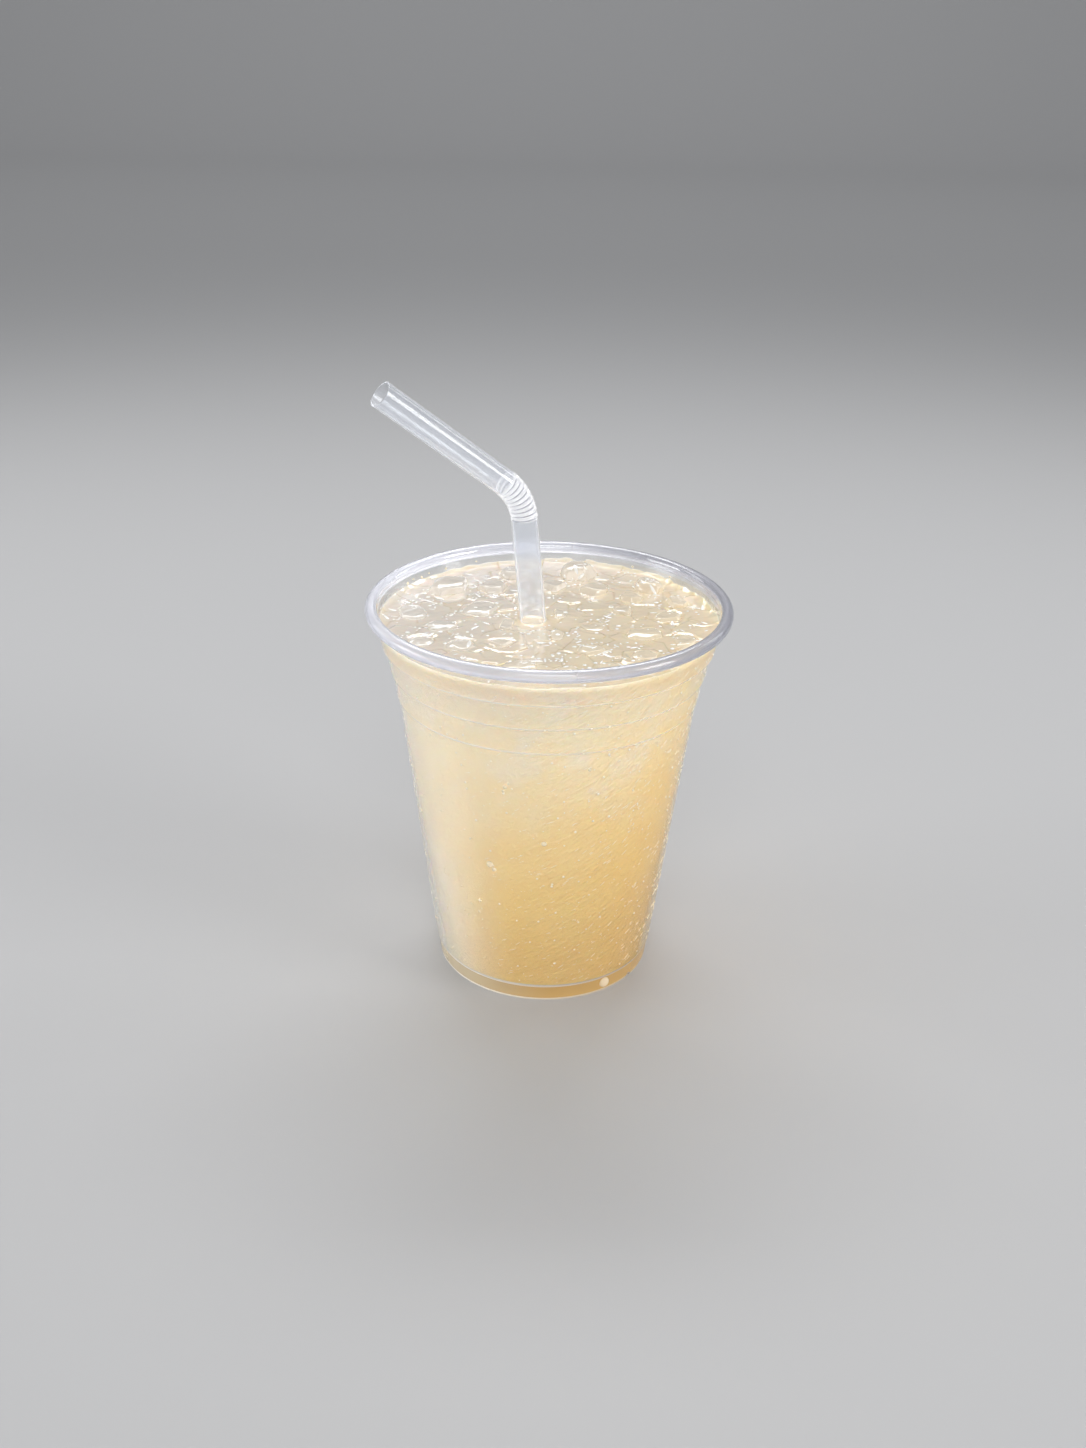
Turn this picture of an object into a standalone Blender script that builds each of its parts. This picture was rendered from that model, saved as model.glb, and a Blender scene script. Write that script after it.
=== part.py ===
"""An iced soursop juice in a clear plastic cup, with a bendy straw.

The cup stands on the origin with +Z up. +X is to the viewer's right and -Y faces the viewer.
Every size is in metres, written as millimetres times MM.
"""

import math
import random

import bmesh
import bpy
from mathutils import Euler, Vector

MM = 0.001
OBJECT_NAME = "soursop_juice_cup"
TOUCH_GAP = 0.3 * MM
MERGE_DISTANCE = 0.01 * MM

# The cup: a 98 mm rim on a standard thin-walled cup, 108 mm tall on a 60 mm foot
CUP_HEIGHT = 108.0 * MM
CUP_WALL = 0.5 * MM
CUP_SEGMENTS = 56
RIM_RADIUS = 49.0 * MM
CURL_RADIUS = 1.7 * MM
CURL_START_DEG = 180.0
CURL_END_DEG = -120.0
CURL_OUTER_STEPS = 10
CURL_INNER_STEPS = 6

# Outer wall corners as height and radius: a straight taper broken by three stacking ledges
WALL_CORNERS = (
    (5.9 * MM, 31.15 * MM),
    (81.6 * MM, 40.50 * MM),
    (82.6 * MM, 41.05 * MM),
    (89.0 * MM, 41.85 * MM),
    (89.9 * MM, 42.65 * MM),
    (96.5 * MM, 43.75 * MM),
    (97.2 * MM, 44.80 * MM),
    (104.2 * MM, 46.00 * MM),
)

# The foot: a folded skirt under a raised, slightly domed floor
FOOT_RADIUS = 30.2 * MM
FOOT_TOP_RADIUS = 30.75 * MM
FOOT_TOP = 5.4 * MM
FOOT_FOLD = 1.0 * MM
FOOT_EDGE = 0.35 * MM
FLOOR_TOP = 5.8 * MM
FLOOR_EDGE_RADIUS = 28.4 * MM
FLOOR_DOME = 0.9 * MM
FLOOR_DOME_SHOULDER = 20.0 * MM
VENT_WIDTH = 1.8 * MM
VENT_LENGTH = 4.0 * MM
VENT_CENTRE_HEIGHT = 0.6 * MM
VENT_AZIMUTH_DEG = -36.0
VENT_SIDES = 12

# The drink: solid from the cup's floor to its level
DRINK_LEVEL = 102.0 * MM

# The straw: 7 mm wide, leaning left, bent over to the left and towards the viewer
STRAW_RADIUS = 3.5 * MM
STRAW_WALL = 0.3 * MM
STRAW_SIDES = 20
STRAW_ENTRY = Vector((-4.2 * MM, -0.9 * MM, DRINK_LEVEL))
STRAW_LEAN_DEG = 5.3
STRAW_BOTTOM = 8.4 * MM
BEND_START = 130.4 * MM
BEND_LENGTH = 12.1 * MM
BEND_RIDGES = 9
RIDGE_HEIGHT = 0.15 * MM
VALLEY_DEPTH = 0.65 * MM
VALLEY_AT_SHARE = 0.2
RIDGE_AT_SHARE = 0.6
MOUTHPIECE_LENGTH = 41.3 * MM
MOUTHPIECE_RISE_DEG = 38.0
MOUTHPIECE_TURN_DEG = 25.0
GUIDE_SPACING = 1.0 * MM

# The ice that shows: across, back, length, width and highest point in mm, and the turn in degrees
ICE_LUMPS = (
    (-28.4, 22.2, 15.0, 12.0, 105.1, 35),
    (-36.8, 3.6, 13.5, 10.5, 103.4, 95),
    (-28.0, -6.2, 13.0, 9.4, 103.3, -5),
    (-18.4, 7.6, 14.5, 12.5, 103.5, 70),
    (-33.0, -17.2, 9.6, 8.8, 103.1, 60),
    (-11.0, -4.4, 12.5, 5.6, 103.3, 82),
    (-12.2, -17.6, 8.8, 6.8, 103.4, 10),
    (-22.4, -19.0, 11.4, 10.0, 103.2, -15),
    (-7.2, -32.0, 12.5, 9.6, 103.3, 5),
    (-19.4, -31.4, 9.8, 8.4, 103.0, -30),
    (4.6, -34.0, 9.2, 8.0, 103.0, 20),
    (15.4, -31.8, 9.8, 8.4, 103.2, -25),
    (2.4, -10.0, 12.0, 5.4, 103.2, 85),
    (2.8, 4.2, 10.0, 5.2, 103.3, 95),
    (11.8, -4.2, 13.5, 11.0, 102.9, 95),
    (11.4, -20.6, 11.0, 10.0, 103.3, 15),
    (24.2, -23.4, 10.0, 8.6, 103.1, 40),
    (25.0, -9.4, 13.0, 11.0, 103.4, -10),
    (35.5, -13.2, 11.5, 7.6, 103.2, 75),
    (20.4, 7.0, 9.0, 8.4, 103.5, 30),
    (32.0, 2.6, 10.5, 8.4, 103.5, 70),
    (35.8, 13.6, 10.0, 7.4, 104.0, 110),
    (27.8, 25.2, 11.0, 8.6, 105.0, -45),
    (22.6, 16.8, 7.6, 7.2, 103.9, 20),
    (12.6, 22.0, 10.0, 9.0, 104.3, -20),
    (8.6, 35.2, 12.0, 11.0, 106.0, 75),
    (1.0, 24.8, 10.0, 9.0, 104.1, 10),
    (-7.0, 13.8, 9.0, 8.0, 103.6, -25),
    (-9.4, 34.0, 10.5, 9.4, 104.7, -20),
    (-15.8, 22.4, 10.0, 9.0, 104.2, 15),
)
ICE_HEIGHT = 11.5 * MM
ICE_PLAN_SQUARENESS = 2.6
ICE_SIDE_SQUARENESS = 5.0
ICE_SHOULDER = 0.6
ICE_UNEVENNESS = 0.06
ICE_WAVES = 3
ICE_WAVE_TURNS = 2.5
ICE_TILT_DEG = 4.0
ICE_SUBDIVISIONS = 2
ICE_TILT_SEED = 100


def clear_scene():
    for leftover in list(bpy.data.objects):
        bpy.data.objects.remove(leftover, do_unlink=True)


def new_collection(name):
    collection = bpy.data.collections.new(name)
    bpy.context.scene.collection.children.link(collection)
    return collection


def principled(name, colour, roughness, transmission, ior):
    material = bpy.data.materials.new(name)
    material.use_nodes = True
    shader = material.node_tree.nodes["Principled BSDF"]
    shader.inputs["Base Color"].default_value = (*colour, 1.0)
    shader.inputs["Roughness"].default_value = roughness
    shader.inputs["Metallic"].default_value = 0.0
    shader.inputs["Transmission Weight"].default_value = transmission
    shader.inputs["IOR"].default_value = ior
    return material


def add_object(name, mesh, collection, material=None):
    made = bpy.data.objects.new(name, mesh)
    collection.objects.link(made)
    if material:
        mesh.materials.append(material)
    return made


def mark_helper(helper):
    """Cutters and guides shape the parts and are no parts themselves."""
    helper.hide_render = True
    helper.display_type = "WIRE"


def outline_mesh(name, outline, closed):
    """A mesh of edges in the XZ plane through (radius, height) points."""
    points = [(radius, 0.0, height) for radius, height in outline]
    edges = [(index, index + 1) for index in range(len(points) - 1)]
    if closed:
        edges.append((len(points) - 1, 0))
    mesh = bpy.data.meshes.new(name)
    mesh.from_pydata(points, edges, [])
    return mesh


def turned(name, outline, segments, collection, material=None, closed=False):
    """The outline turned about Z by a Screw modifier."""
    made = add_object(name, outline_mesh(name, outline, closed), collection, material)
    screw = made.modifiers.new("turned", "SCREW")
    screw.axis = "Z"
    screw.angle = math.tau
    screw.steps = segments
    screw.render_steps = segments
    screw.use_merge_vertices = True
    screw.merge_threshold = MERGE_DISTANCE
    screw.use_smooth_shade = True
    return made


def cut(target, cutter, name):
    boolean = target.modifiers.new(name, "BOOLEAN")
    boolean.operation = "DIFFERENCE"
    boolean.solver = "EXACT"
    boolean.object = cutter


def wall_radius(height):
    """The outer wall's radius at a height between its first and last corner."""
    for (low, radius_low), (high, radius_high) in zip(WALL_CORNERS, WALL_CORNERS[1:]):
        if height <= high:
            return radius_low + (radius_high - radius_low) * (height - low) / (high - low)
    return WALL_CORNERS[-1][1]


def arc(centre, radius, start_deg, end_deg, steps):
    """Points along a circle's arc in the outline's plane, both ends included."""
    points = []
    for step in range(steps + 1):
        angle = math.radians(start_deg + (end_deg - start_deg) * step / steps)
        points.append((centre[0] + radius * math.cos(angle), centre[1] + radius * math.sin(angle)))
    return points


def floor_outline(edge_radius, edge_height):
    """The domed floor from the axis to its edge."""
    shoulder_drop = FLOOR_DOME * (FLOOR_DOME_SHOULDER / edge_radius) ** 2
    return [
        (0.0, edge_height + FLOOR_DOME),
        (FLOOR_DOME_SHOULDER, edge_height + FLOOR_DOME - shoulder_drop),
        (edge_radius, edge_height),
    ]


def inner_wall_outline(inset, lowest, highest):
    """The wall's corners between two heights, moved in by the inset, from low to high."""
    heights = [height for height, _ in WALL_CORNERS if lowest < height < highest]
    heights = [lowest, *heights, highest]
    return [(wall_radius(height) - inset, height) for height in heights]


def cup_outline():
    """Up the inside, over the rolled rim, down the outside and under the floor."""
    curl_centre = (RIM_RADIUS - CURL_RADIUS, CUP_HEIGHT - CURL_RADIUS)
    inside = floor_outline(FLOOR_EDGE_RADIUS, FLOOR_TOP)
    inside += inner_wall_outline(CUP_WALL, FLOOR_TOP + CUP_WALL, WALL_CORNERS[-1][0])
    curl_face = arc(curl_centre, CURL_RADIUS, CURL_START_DEG, CURL_END_DEG, CURL_OUTER_STEPS)
    curl_back = arc(
        curl_centre, CURL_RADIUS - CUP_WALL, CURL_END_DEG, CURL_START_DEG, CURL_INNER_STEPS
    )
    outside = [(radius, height) for height, radius in reversed(WALL_CORNERS)]
    foot = [
        (FOOT_TOP_RADIUS, FOOT_TOP),
        (FOOT_RADIUS, FOOT_EDGE),
        (FOOT_RADIUS - FOOT_EDGE, 0.0),
        (FOOT_RADIUS - FOOT_FOLD, 0.0),
        (FOOT_TOP_RADIUS - FOOT_FOLD, FLOOR_TOP - 2 * CUP_WALL),
    ]
    underside = reversed(floor_outline(FLOOR_EDGE_RADIUS, FLOOR_TOP - CUP_WALL))
    return [*inside, *curl_face, *curl_back, *outside, *foot, *underside]


def vent_cutter(collection):
    """A short round bar lying along a radius, low in the foot's skirt."""
    azimuth = math.radians(VENT_AZIMUTH_DEG)
    middle = FOOT_RADIUS - FOOT_FOLD / 2
    bpy.ops.mesh.primitive_cylinder_add(
        vertices=VENT_SIDES,
        radius=VENT_WIDTH / 2,
        depth=VENT_LENGTH,
        location=(middle * math.cos(azimuth), middle * math.sin(azimuth), VENT_CENTRE_HEIGHT),
        rotation=(0.0, math.pi / 2, azimuth),
    )
    cutter = bpy.context.object
    cutter.name = "vent_cutter"
    for owner in list(cutter.users_collection):
        owner.objects.unlink(cutter)
    collection.objects.link(cutter)
    mark_helper(cutter)
    return cutter


def build_cup(parts, cutters):
    clear_plastic = principled(
        "clear_plastic", (0.95, 0.96, 0.97), roughness=0.05, transmission=1.0, ior=1.57
    )
    cup = turned("cup", cup_outline(), CUP_SEGMENTS, parts, clear_plastic)
    cut(cup, vent_cutter(cutters), "vent")


def straw_directions():
    """The unit directions of the straw's long part and of its mouthpiece, both going up."""
    lean = math.radians(STRAW_LEAN_DEG)
    rise = math.radians(MOUTHPIECE_RISE_DEG)
    turn = math.radians(MOUTHPIECE_TURN_DEG)
    long_part = Vector((-math.sin(lean), 0.0, math.cos(lean)))
    mouthpiece = Vector(
        (-math.cos(rise) * math.cos(turn), -math.cos(rise) * math.sin(turn), math.sin(rise))
    )
    return long_part, mouthpiece


def straw_point_at_height(height):
    long_part, _ = straw_directions()
    return STRAW_ENTRY + long_part * (height - STRAW_ENTRY.z) / long_part.z


def straw_length_below_bend():
    return (straw_point_at_height(BEND_START) - straw_point_at_height(STRAW_BOTTOM)).length


def straw_path(distance):
    """The point on the straw's centre line at a distance from its lower end."""
    long_part, mouthpiece = straw_directions()
    bottom = straw_point_at_height(STRAW_BOTTOM)
    below = straw_length_below_bend()
    if distance <= below:
        return bottom + long_part * distance
    bend_angle = long_part.angle(mouthpiece)
    bend_radius = BEND_LENGTH / bend_angle
    inward = (mouthpiece - long_part * mouthpiece.dot(long_part)).normalized()
    turned_by = min((distance - below) / bend_radius, bend_angle)
    point = bottom + long_part * (below + bend_radius * math.sin(turned_by))
    point += inward * bend_radius * (1 - math.cos(turned_by))
    beyond = max(distance - below - BEND_LENGTH, 0.0)
    return point + mouthpiece * beyond


def straw_outline():
    """The straw standing straight: down its outside, then up its bore."""
    bend_start = straw_length_below_bend()
    bend_end = bend_start + BEND_LENGTH
    whole = bend_end + MOUTHPIECE_LENGTH
    pitch = BEND_LENGTH / BEND_RIDGES
    corners = [(0.0, STRAW_RADIUS), (bend_start, STRAW_RADIUS)]
    for ridge in range(BEND_RIDGES):
        start = bend_start + ridge * pitch
        corners.append((start + VALLEY_AT_SHARE * pitch, STRAW_RADIUS - VALLEY_DEPTH))
        corners.append((start + RIDGE_AT_SHARE * pitch, STRAW_RADIUS + RIDGE_HEIGHT))
    corners += [(bend_end, STRAW_RADIUS), (whole, STRAW_RADIUS)]
    outside = [(radius, height) for height, radius in reversed(corners)]
    bore = [(radius - STRAW_WALL, height) for height, radius in corners]
    return outside + bore


def straw_guide(collection):
    """The curve that the straight straw is bent along."""
    whole = straw_length_below_bend() + BEND_LENGTH + MOUTHPIECE_LENGTH
    count = round(whole / GUIDE_SPACING) + 1
    curve = bpy.data.curves.new("straw_guide", "CURVE")
    curve.dimensions = "3D"
    curve.twist_mode = "MINIMUM"
    spline = curve.splines.new("POLY")
    spline.points.add(count - 1)
    for index, point in enumerate(spline.points):
        point.co = (*straw_path(whole * index / (count - 1)), 1.0)
    guide = bpy.data.objects.new("straw_guide", curve)
    collection.objects.link(guide)
    mark_helper(guide)
    return guide


def build_straw(parts, cutters):
    straw_plastic = principled(
        "straw_plastic", (0.93, 0.94, 0.96), roughness=0.15, transmission=0.9, ior=1.49
    )
    straw = turned("straw", straw_outline(), STRAW_SIDES, parts, straw_plastic, closed=True)
    bend = straw.modifiers.new("bend", "CURVE")
    bend.object = straw_guide(cutters)
    bend.deform_axis = "POS_Z"


def lump_reach(way):
    """How far a flat-topped lump of half sizes 1 reaches in a direction."""
    plan = abs(way.x) ** ICE_PLAN_SQUARENESS + abs(way.y) ** ICE_PLAN_SQUARENESS
    sides = plan ** (ICE_SIDE_SQUARENESS / ICE_PLAN_SQUARENESS)
    return (sides + abs(way.z) ** ICE_SIDE_SQUARENESS) ** (-1 / ICE_SIDE_SQUARENESS)


def lump_mesh(name, length, width, height, grown, seed):
    """A melted, uneven lump about its own centre, grown by a margin on every side."""
    draw = random.Random(seed)
    waves = []
    for _ in range(ICE_WAVES):
        direction = Vector((draw.uniform(-1, 1), draw.uniform(-1, 1), draw.uniform(-1, 1)))
        waves.append((direction * ICE_WAVE_TURNS, draw.uniform(0, math.tau)))
    half_sizes = Vector((length / 2 + grown, width / 2 + grown, height / 2 + grown))
    shape = bmesh.new()
    bmesh.ops.create_icosphere(shape, subdivisions=ICE_SUBDIVISIONS, radius=1.0)
    for corner in shape.verts:
        way = corner.co.normalized()
        way.z = math.copysign(abs(way.z) ** ICE_SHOULDER, way.z)
        uneven = sum(math.sin(wave.dot(way) + phase) for wave, phase in waves) / len(waves)
        reach = lump_reach(way) * (1 + ICE_UNEVENNESS * uneven)
        corner.co = Vector(part * reach * half for part, half in zip(way, half_sizes))
    mesh = bpy.data.meshes.new(name)
    shape.to_mesh(mesh)
    shape.free()
    mesh.shade_smooth()
    return mesh


def build_ice(parts, cutters):
    """The lumps of ice that break the surface, and a cutter for the pocket round each."""
    ice = principled("ice", (0.93, 0.95, 0.95), roughness=0.08, transmission=0.9, ior=1.31)
    pockets = []
    for number, (across, back, length, width, top, turn) in enumerate(ICE_LUMPS, start=1):
        draw = random.Random(ICE_TILT_SEED + number)
        tilts = [math.radians(draw.uniform(-ICE_TILT_DEG, ICE_TILT_DEG)) for _ in range(2)]
        rotation = Euler((*tilts, math.radians(turn)))
        sizes = (length * MM, width * MM, ICE_HEIGHT)
        lump = add_object(
            f"ice_{number:02d}", lump_mesh(f"ice_{number:02d}", *sizes, 0.0, number), parts, ice
        )
        reach = max((rotation.to_matrix() @ corner.co).z for corner in lump.data.vertices)
        lump.location = (across * MM, back * MM, top * MM - reach)
        lump.rotation_euler = rotation
        pocket = add_object(
            f"pocket_{number:02d}",
            lump_mesh(f"pocket_{number:02d}", *sizes, TOUCH_GAP, number),
            cutters,
        )
        pocket.location = lump.location
        pocket.rotation_euler = rotation
        mark_helper(pocket)
        pockets.append(pocket)
    return pockets


def drink_outline():
    """The drink's solid, a touch gap inside the cup's floor and wall."""
    edge_height = FLOOR_TOP + TOUCH_GAP
    inset = CUP_WALL + TOUCH_GAP
    floor = floor_outline(FLOOR_EDGE_RADIUS - TOUCH_GAP, edge_height)
    wall = inner_wall_outline(inset, edge_height + CUP_WALL, DRINK_LEVEL)
    return [*floor, *wall, (0.0, DRINK_LEVEL)]


def straw_slot_cutter(cutters):
    """A tube that leaves the straw's wall its room and keeps the drink inside its bore."""
    long_part, _ = straw_directions()
    outer = STRAW_RADIUS + TOUCH_GAP
    bore = STRAW_RADIUS - STRAW_WALL - TOUCH_GAP
    above_drink = straw_length_below_bend()
    outline = [(outer, above_drink), (outer, -TOUCH_GAP), (bore, -TOUCH_GAP), (bore, above_drink)]
    slot = turned("straw_slot_cutter", outline, STRAW_SIDES, cutters, closed=True)
    slot.location = straw_point_at_height(STRAW_BOTTOM)
    slot.rotation_euler = long_part.to_track_quat("Z", "Y").to_euler()
    mark_helper(slot)
    return slot


def build_drink(parts, cutters, pockets):
    juice = principled("juice", (0.84, 0.70, 0.45), roughness=0.2, transmission=0.0, ior=1.34)
    drink = turned("drink", drink_outline(), CUP_SEGMENTS, parts, juice)
    cut(drink, straw_slot_cutter(cutters), "straw_slot")
    for pocket in pockets:
        cut(drink, pocket, pocket.name)


def main():
    clear_scene()
    parts = new_collection(OBJECT_NAME)
    cutters = new_collection("cutters")
    build_cup(parts, cutters)
    build_straw(parts, cutters)
    pockets = build_ice(parts, cutters)
    build_drink(parts, cutters, pockets)


main()
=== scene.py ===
"""The looks of an iced soursop juice in a clear plastic cup with a bendy straw.

+Z is up, -Y faces the viewer and +X is to the viewer's right. Every size is in metres, written as
millimetres times MM.
"""

import math
import random
from collections import namedtuple

import bmesh
import bpy
import numpy as np
from mathutils import Matrix, Vector, noise
from mathutils.bvhtree import BVHTree


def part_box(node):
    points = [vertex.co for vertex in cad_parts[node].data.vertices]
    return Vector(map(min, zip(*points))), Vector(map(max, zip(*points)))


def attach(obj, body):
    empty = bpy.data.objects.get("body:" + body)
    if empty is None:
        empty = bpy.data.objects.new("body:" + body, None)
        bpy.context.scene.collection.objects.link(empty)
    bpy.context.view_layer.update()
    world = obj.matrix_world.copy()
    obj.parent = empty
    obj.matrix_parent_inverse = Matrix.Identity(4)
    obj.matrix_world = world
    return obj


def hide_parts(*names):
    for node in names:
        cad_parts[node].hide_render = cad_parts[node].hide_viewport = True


MM = 0.001
UP = Vector((0.0, 0.0, 1.0))
SHARP_ANGLE = math.radians(50.0)

# The camera: where the photograph was taken from
CAMERA_TARGET = Vector((-1.09 * MM, 0.0, 71.07 * MM))
CAMERA_DISTANCE = 422.5 * MM
CAMERA_ELEVATION_DEG = 25.67
CAMERA_ROLL_DEG = 1.005
CAMERA_LENS_MM = 37.96
CAMERA_NEAREST = 10.0 * MM

# The studio in metres: a floor that curves up into a backdrop, the sky and soft lights, which are
# aimed at the middle of the cup or at the drink's top
FLOOR_FRONT = -3.0
FLOOR_BACK = 2.2
FLOOR_BEND = 0.8
FLOOR_BEND_STEPS = 24
FLOOR_HALF_WIDTH = 4.0
FLOOR_COLOUR = (0.52, 0.52, 0.525)
FLOOR_ROUGHNESS = 0.6
BACKDROP_HEIGHT = 3.0
SKY_COLOUR = (0.95, 0.97, 1.0)
SKY_STRENGTH = 0.35
CUP_MIDDLE = (0.0, 0.0, 0.07)
DRINK_TOP = (0.0, 0.0, 0.10)
# Each light as name, place, what it is aimed at, width, height, watts and spread in degrees
LIGHTS = (
    ("left", (-0.86, -0.05, 0.27), CUP_MIDDLE, 0.42, 0.36, 2.1, 180.0),
    ("left_low", (-0.60, -0.20, 0.05), (-0.03, -0.01, 0.0), 0.28, 0.08, 0.014, 20.0),
    ("right", (0.80, -0.35, 0.38), CUP_MIDDLE, 0.36, 0.40, 3.0, 180.0),
    ("front", (0.0, -1.05, 0.22), CUP_MIDDLE, 0.9, 0.35, 2.3, 180.0),
    ("front_high", (0.0, -0.75, 0.80), CUP_MIDDLE, 0.5, 0.3, 2.0, 180.0),
    ("behind", (0.0, 0.48, 0.67), DRINK_TOP, 0.70, 0.20, 2.4, 180.0),
    ("behind_left", (-0.60, 0.38, 0.40), DRINK_TOP, 0.20, 0.35, 0.45, 180.0),
    ("behind_right", (0.60, 0.38, 0.40), DRINK_TOP, 0.20, 0.35, 0.45, 180.0),
    ("backdrop", (0.0, 1.5, 1.9), (0.0, 2.4, 0.0), 2.4, 0.8, 8.0, 180.0),
)

# Colours, of which the first of two is at the left or at the bottom
CLEAR_COLOUR = (0.985, 0.988, 0.99)
# The rim paler on the left as painted highlight and darker on the right as painted shade
RIM_LIT_AND_SHADED_COLOURS = ((0.79, 0.795, 0.84), (0.50, 0.505, 0.55))
# Near-white painted highlight lines on the ledges and the foot's edges
EDGE_HIGHLIGHT_COLOURS = ((0.98, 0.94, 0.86), (0.96, 0.90, 0.78))
# The foot painted golden as the glow of light through the juice, paler on the left
FOOT_GLOW_COLOURS = ((0.96, 0.83, 0.60), (0.90, 0.62, 0.25))
# The wall's mist: pale on the left as painted sheen, golden on the right
MIST_AND_SHEEN_COLOURS = ((0.975, 0.955, 0.915), (0.95, 0.83, 0.60))
STRAW_COLOUR = (0.89, 0.905, 0.935)
BEND_COLOUR = (0.97, 0.975, 0.985)
# Painted shade in the valleys of the straw's bend
VALLEY_SHADE_COLOUR = (0.50, 0.51, 0.55)
ICE_COLOURS = ((0.79, 0.73, 0.65), (0.85, 0.73, 0.54))
FILM_COLOURS = ((0.79, 0.69, 0.56), (0.86, 0.70, 0.46))
ICY_COLOURS = ((0.78, 0.70, 0.60), (0.85, 0.71, 0.50))
# Darker lines at the plates' borders, and painted shade on the juice inside the straw
BORDER_AND_BORE_SHADE_COLOUR = (0.62, 0.48, 0.28)
SUNK_ICE_COLOUR = (0.86, 0.80, 0.70)
# Painted shade along the juice's top edge under the rim
TOP_EDGE_SHADE_COLOUR = (0.66, 0.56, 0.42)
# Pale mist at the left: partly condensation, partly painted sheen and painted reflection
LEFT_MIST_AND_SHEEN_COLOUR = (0.95, 0.88, 0.78)
WATER_COLOUR = (0.93, 0.85, 0.68)
# Bubbles near white as painted glints
BUBBLE_GLINT_COLOUR = (0.99, 0.965, 0.91)
DROPLET_COLOURS = ((0.90, 0.80, 0.60), (0.94, 0.90, 0.80))
FRUIT_COLOUR = (0.92, 0.80, 0.50)

# Refraction, higher in specks than in water, so that they glint
CUP_IOR = 1.57
STRAW_IOR = 1.49
JUICE_IOR = 1.34
WATER_IOR = 1.33
ICE_IOR = 1.31
BUBBLE_IOR = 2.4
DROPLET_IOR = 1.6
FRUIT_IOR = 1.5
# How much light passes through, at the left and at the right where there are two, and the lowest and
# highest roughness of the milky plastics
# The rim is a little milkier on the left as painted highlight
RIM_CLEARNESSES = (0.66, 0.73)
RIM_ROUGHNESSES = (0.17, 0.19)
# The ledge and foot lines are much milkier on the left as painted highlight
EDGE_HIGHLIGHT_CLEARNESSES = (0.15, 0.68)
EDGE_ROUGHNESSES = (0.05, 0.12)
FOOT_CLEARNESS = 0.62
STRAW_CLEARNESS = 0.92
BEND_CLEARNESS = 0.72
STRAW_EDGE_SHARE = 0.3
WATER_CLEARNESS = 0.4
# Nearly all of a noise pattern lies between these
NOISE_RANGE = (0.3, 0.7)
# Slanting strokes in the condensation: their length, turn and shares of it along x, y and z
STROKE_PATTERN_LENGTH = 4.5 * MM
STROKE_PATTERN_TURN_DEG = -34.0
STROKE_PATTERN_SHARES = (1.0, 0.3, 0.17)

# The cup: outer wall corners as height and radius, the rolled rim and the folded foot
CUP_HEIGHT = 108.0 * MM
CUP_WALL = 0.5 * MM
CUP_SEGMENTS = 288
RIM_RADIUS = 49.0 * MM
CURL_RADIUS = 1.7 * MM
CURL_START_DEG = 180.0
CURL_END_DEG = -120.0
CURL_OUTER_STEPS = 30
CURL_INNER_STEPS = 20
# Painted highlight lines of milky plastic, this high, lie just above the ledges
LEDGE_TOPS = (82.3 * MM, 89.7 * MM, 97.05 * MM)
HIGHLIGHT_LINE_HEIGHT = 0.35 * MM
OUTER_WALL = (
    (5.9 * MM, 31.15 * MM),
    (81.9 * MM, 40.54 * MM),
    (LEDGE_TOPS[0], 41.01 * MM),
    (LEDGE_TOPS[0] + HIGHLIGHT_LINE_HEIGHT, 41.054 * MM),
    (89.25 * MM, 41.89 * MM),
    (LEDGE_TOPS[1], 42.62 * MM),
    (LEDGE_TOPS[1] + HIGHLIGHT_LINE_HEIGHT, 42.679 * MM),
    (96.7 * MM, 43.80 * MM),
    (LEDGE_TOPS[2], 44.77 * MM),
    (LEDGE_TOPS[2] + HIGHLIGHT_LINE_HEIGHT, 44.830 * MM),
    (104.2 * MM, 46.00 * MM),
)
# The same wall without its ledges, for its inside
EVEN_WALL = (
    (5.9 * MM, 31.15 * MM),
    (81.2 * MM, 40.45 * MM),
    (88.6 * MM, 41.80 * MM),
    (96.1 * MM, 43.68 * MM),
    (101.2 * MM, 45.45 * MM),
    (104.2 * MM, 46.00 * MM),
)
OUTER_CORNER_REACH = 0.2 * MM
EVEN_CORNER_REACH = 1.5 * MM
WALL_CORNER_STEPS = 4
FOOT_RADIUS = 30.2 * MM
FOOT_TOP_RADIUS = 30.75 * MM
FOOT_TOP = 5.4 * MM
FOOT_FOLD = 1.0 * MM
FOOT_EDGE = 0.35 * MM
# The foot is painted golden between these heights, as the glow of light that passed through the juice,
# with painted highlight lines below and above them
FOOT_GLOW_HEIGHTS = (0.9 * MM, 4.8 * MM)
FLOOR_TOP = 5.8 * MM
FLOOR_EDGE_RADIUS = 28.4 * MM
FLOOR_DOME = 0.9 * MM
FLOOR_RINGS = 8
VENT_WIDTH = 1.8 * MM
VENT_LENGTH = 4.0 * MM
VENT_CENTRE_HEIGHT = 0.6 * MM
VENT_AZIMUTH_DEG = -36.0
VENT_SIDES = 32
MIST_TOP = 104.2 * MM
CURL_BOTTOM = 104.6 * MM
CURL_INNER_RADIUS = 46.2 * MM
# Faces whose normals point further down than this are ledges
LEDGE_SLOPE = -0.25

# The juice: its level, how far it reaches into the wall so that no air gap shows, and its waves
DRINK_LEVEL = 102.0 * MM
JUICE_OVERLAP = 0.2 * MM
JUICE_FOOT = (30.5 * MM, 5.5 * MM)
SURFACE_SPACING = 0.33 * MM
SURFACE_STEPS = 1024
WALL_STEPS = 512
FRONT_RISE = 0.3 * MM
BACK_RISE = 1.2 * MM
WALL_RISE_REACH = 1.2 * MM
LEAST_RAG = 0.4
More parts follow.
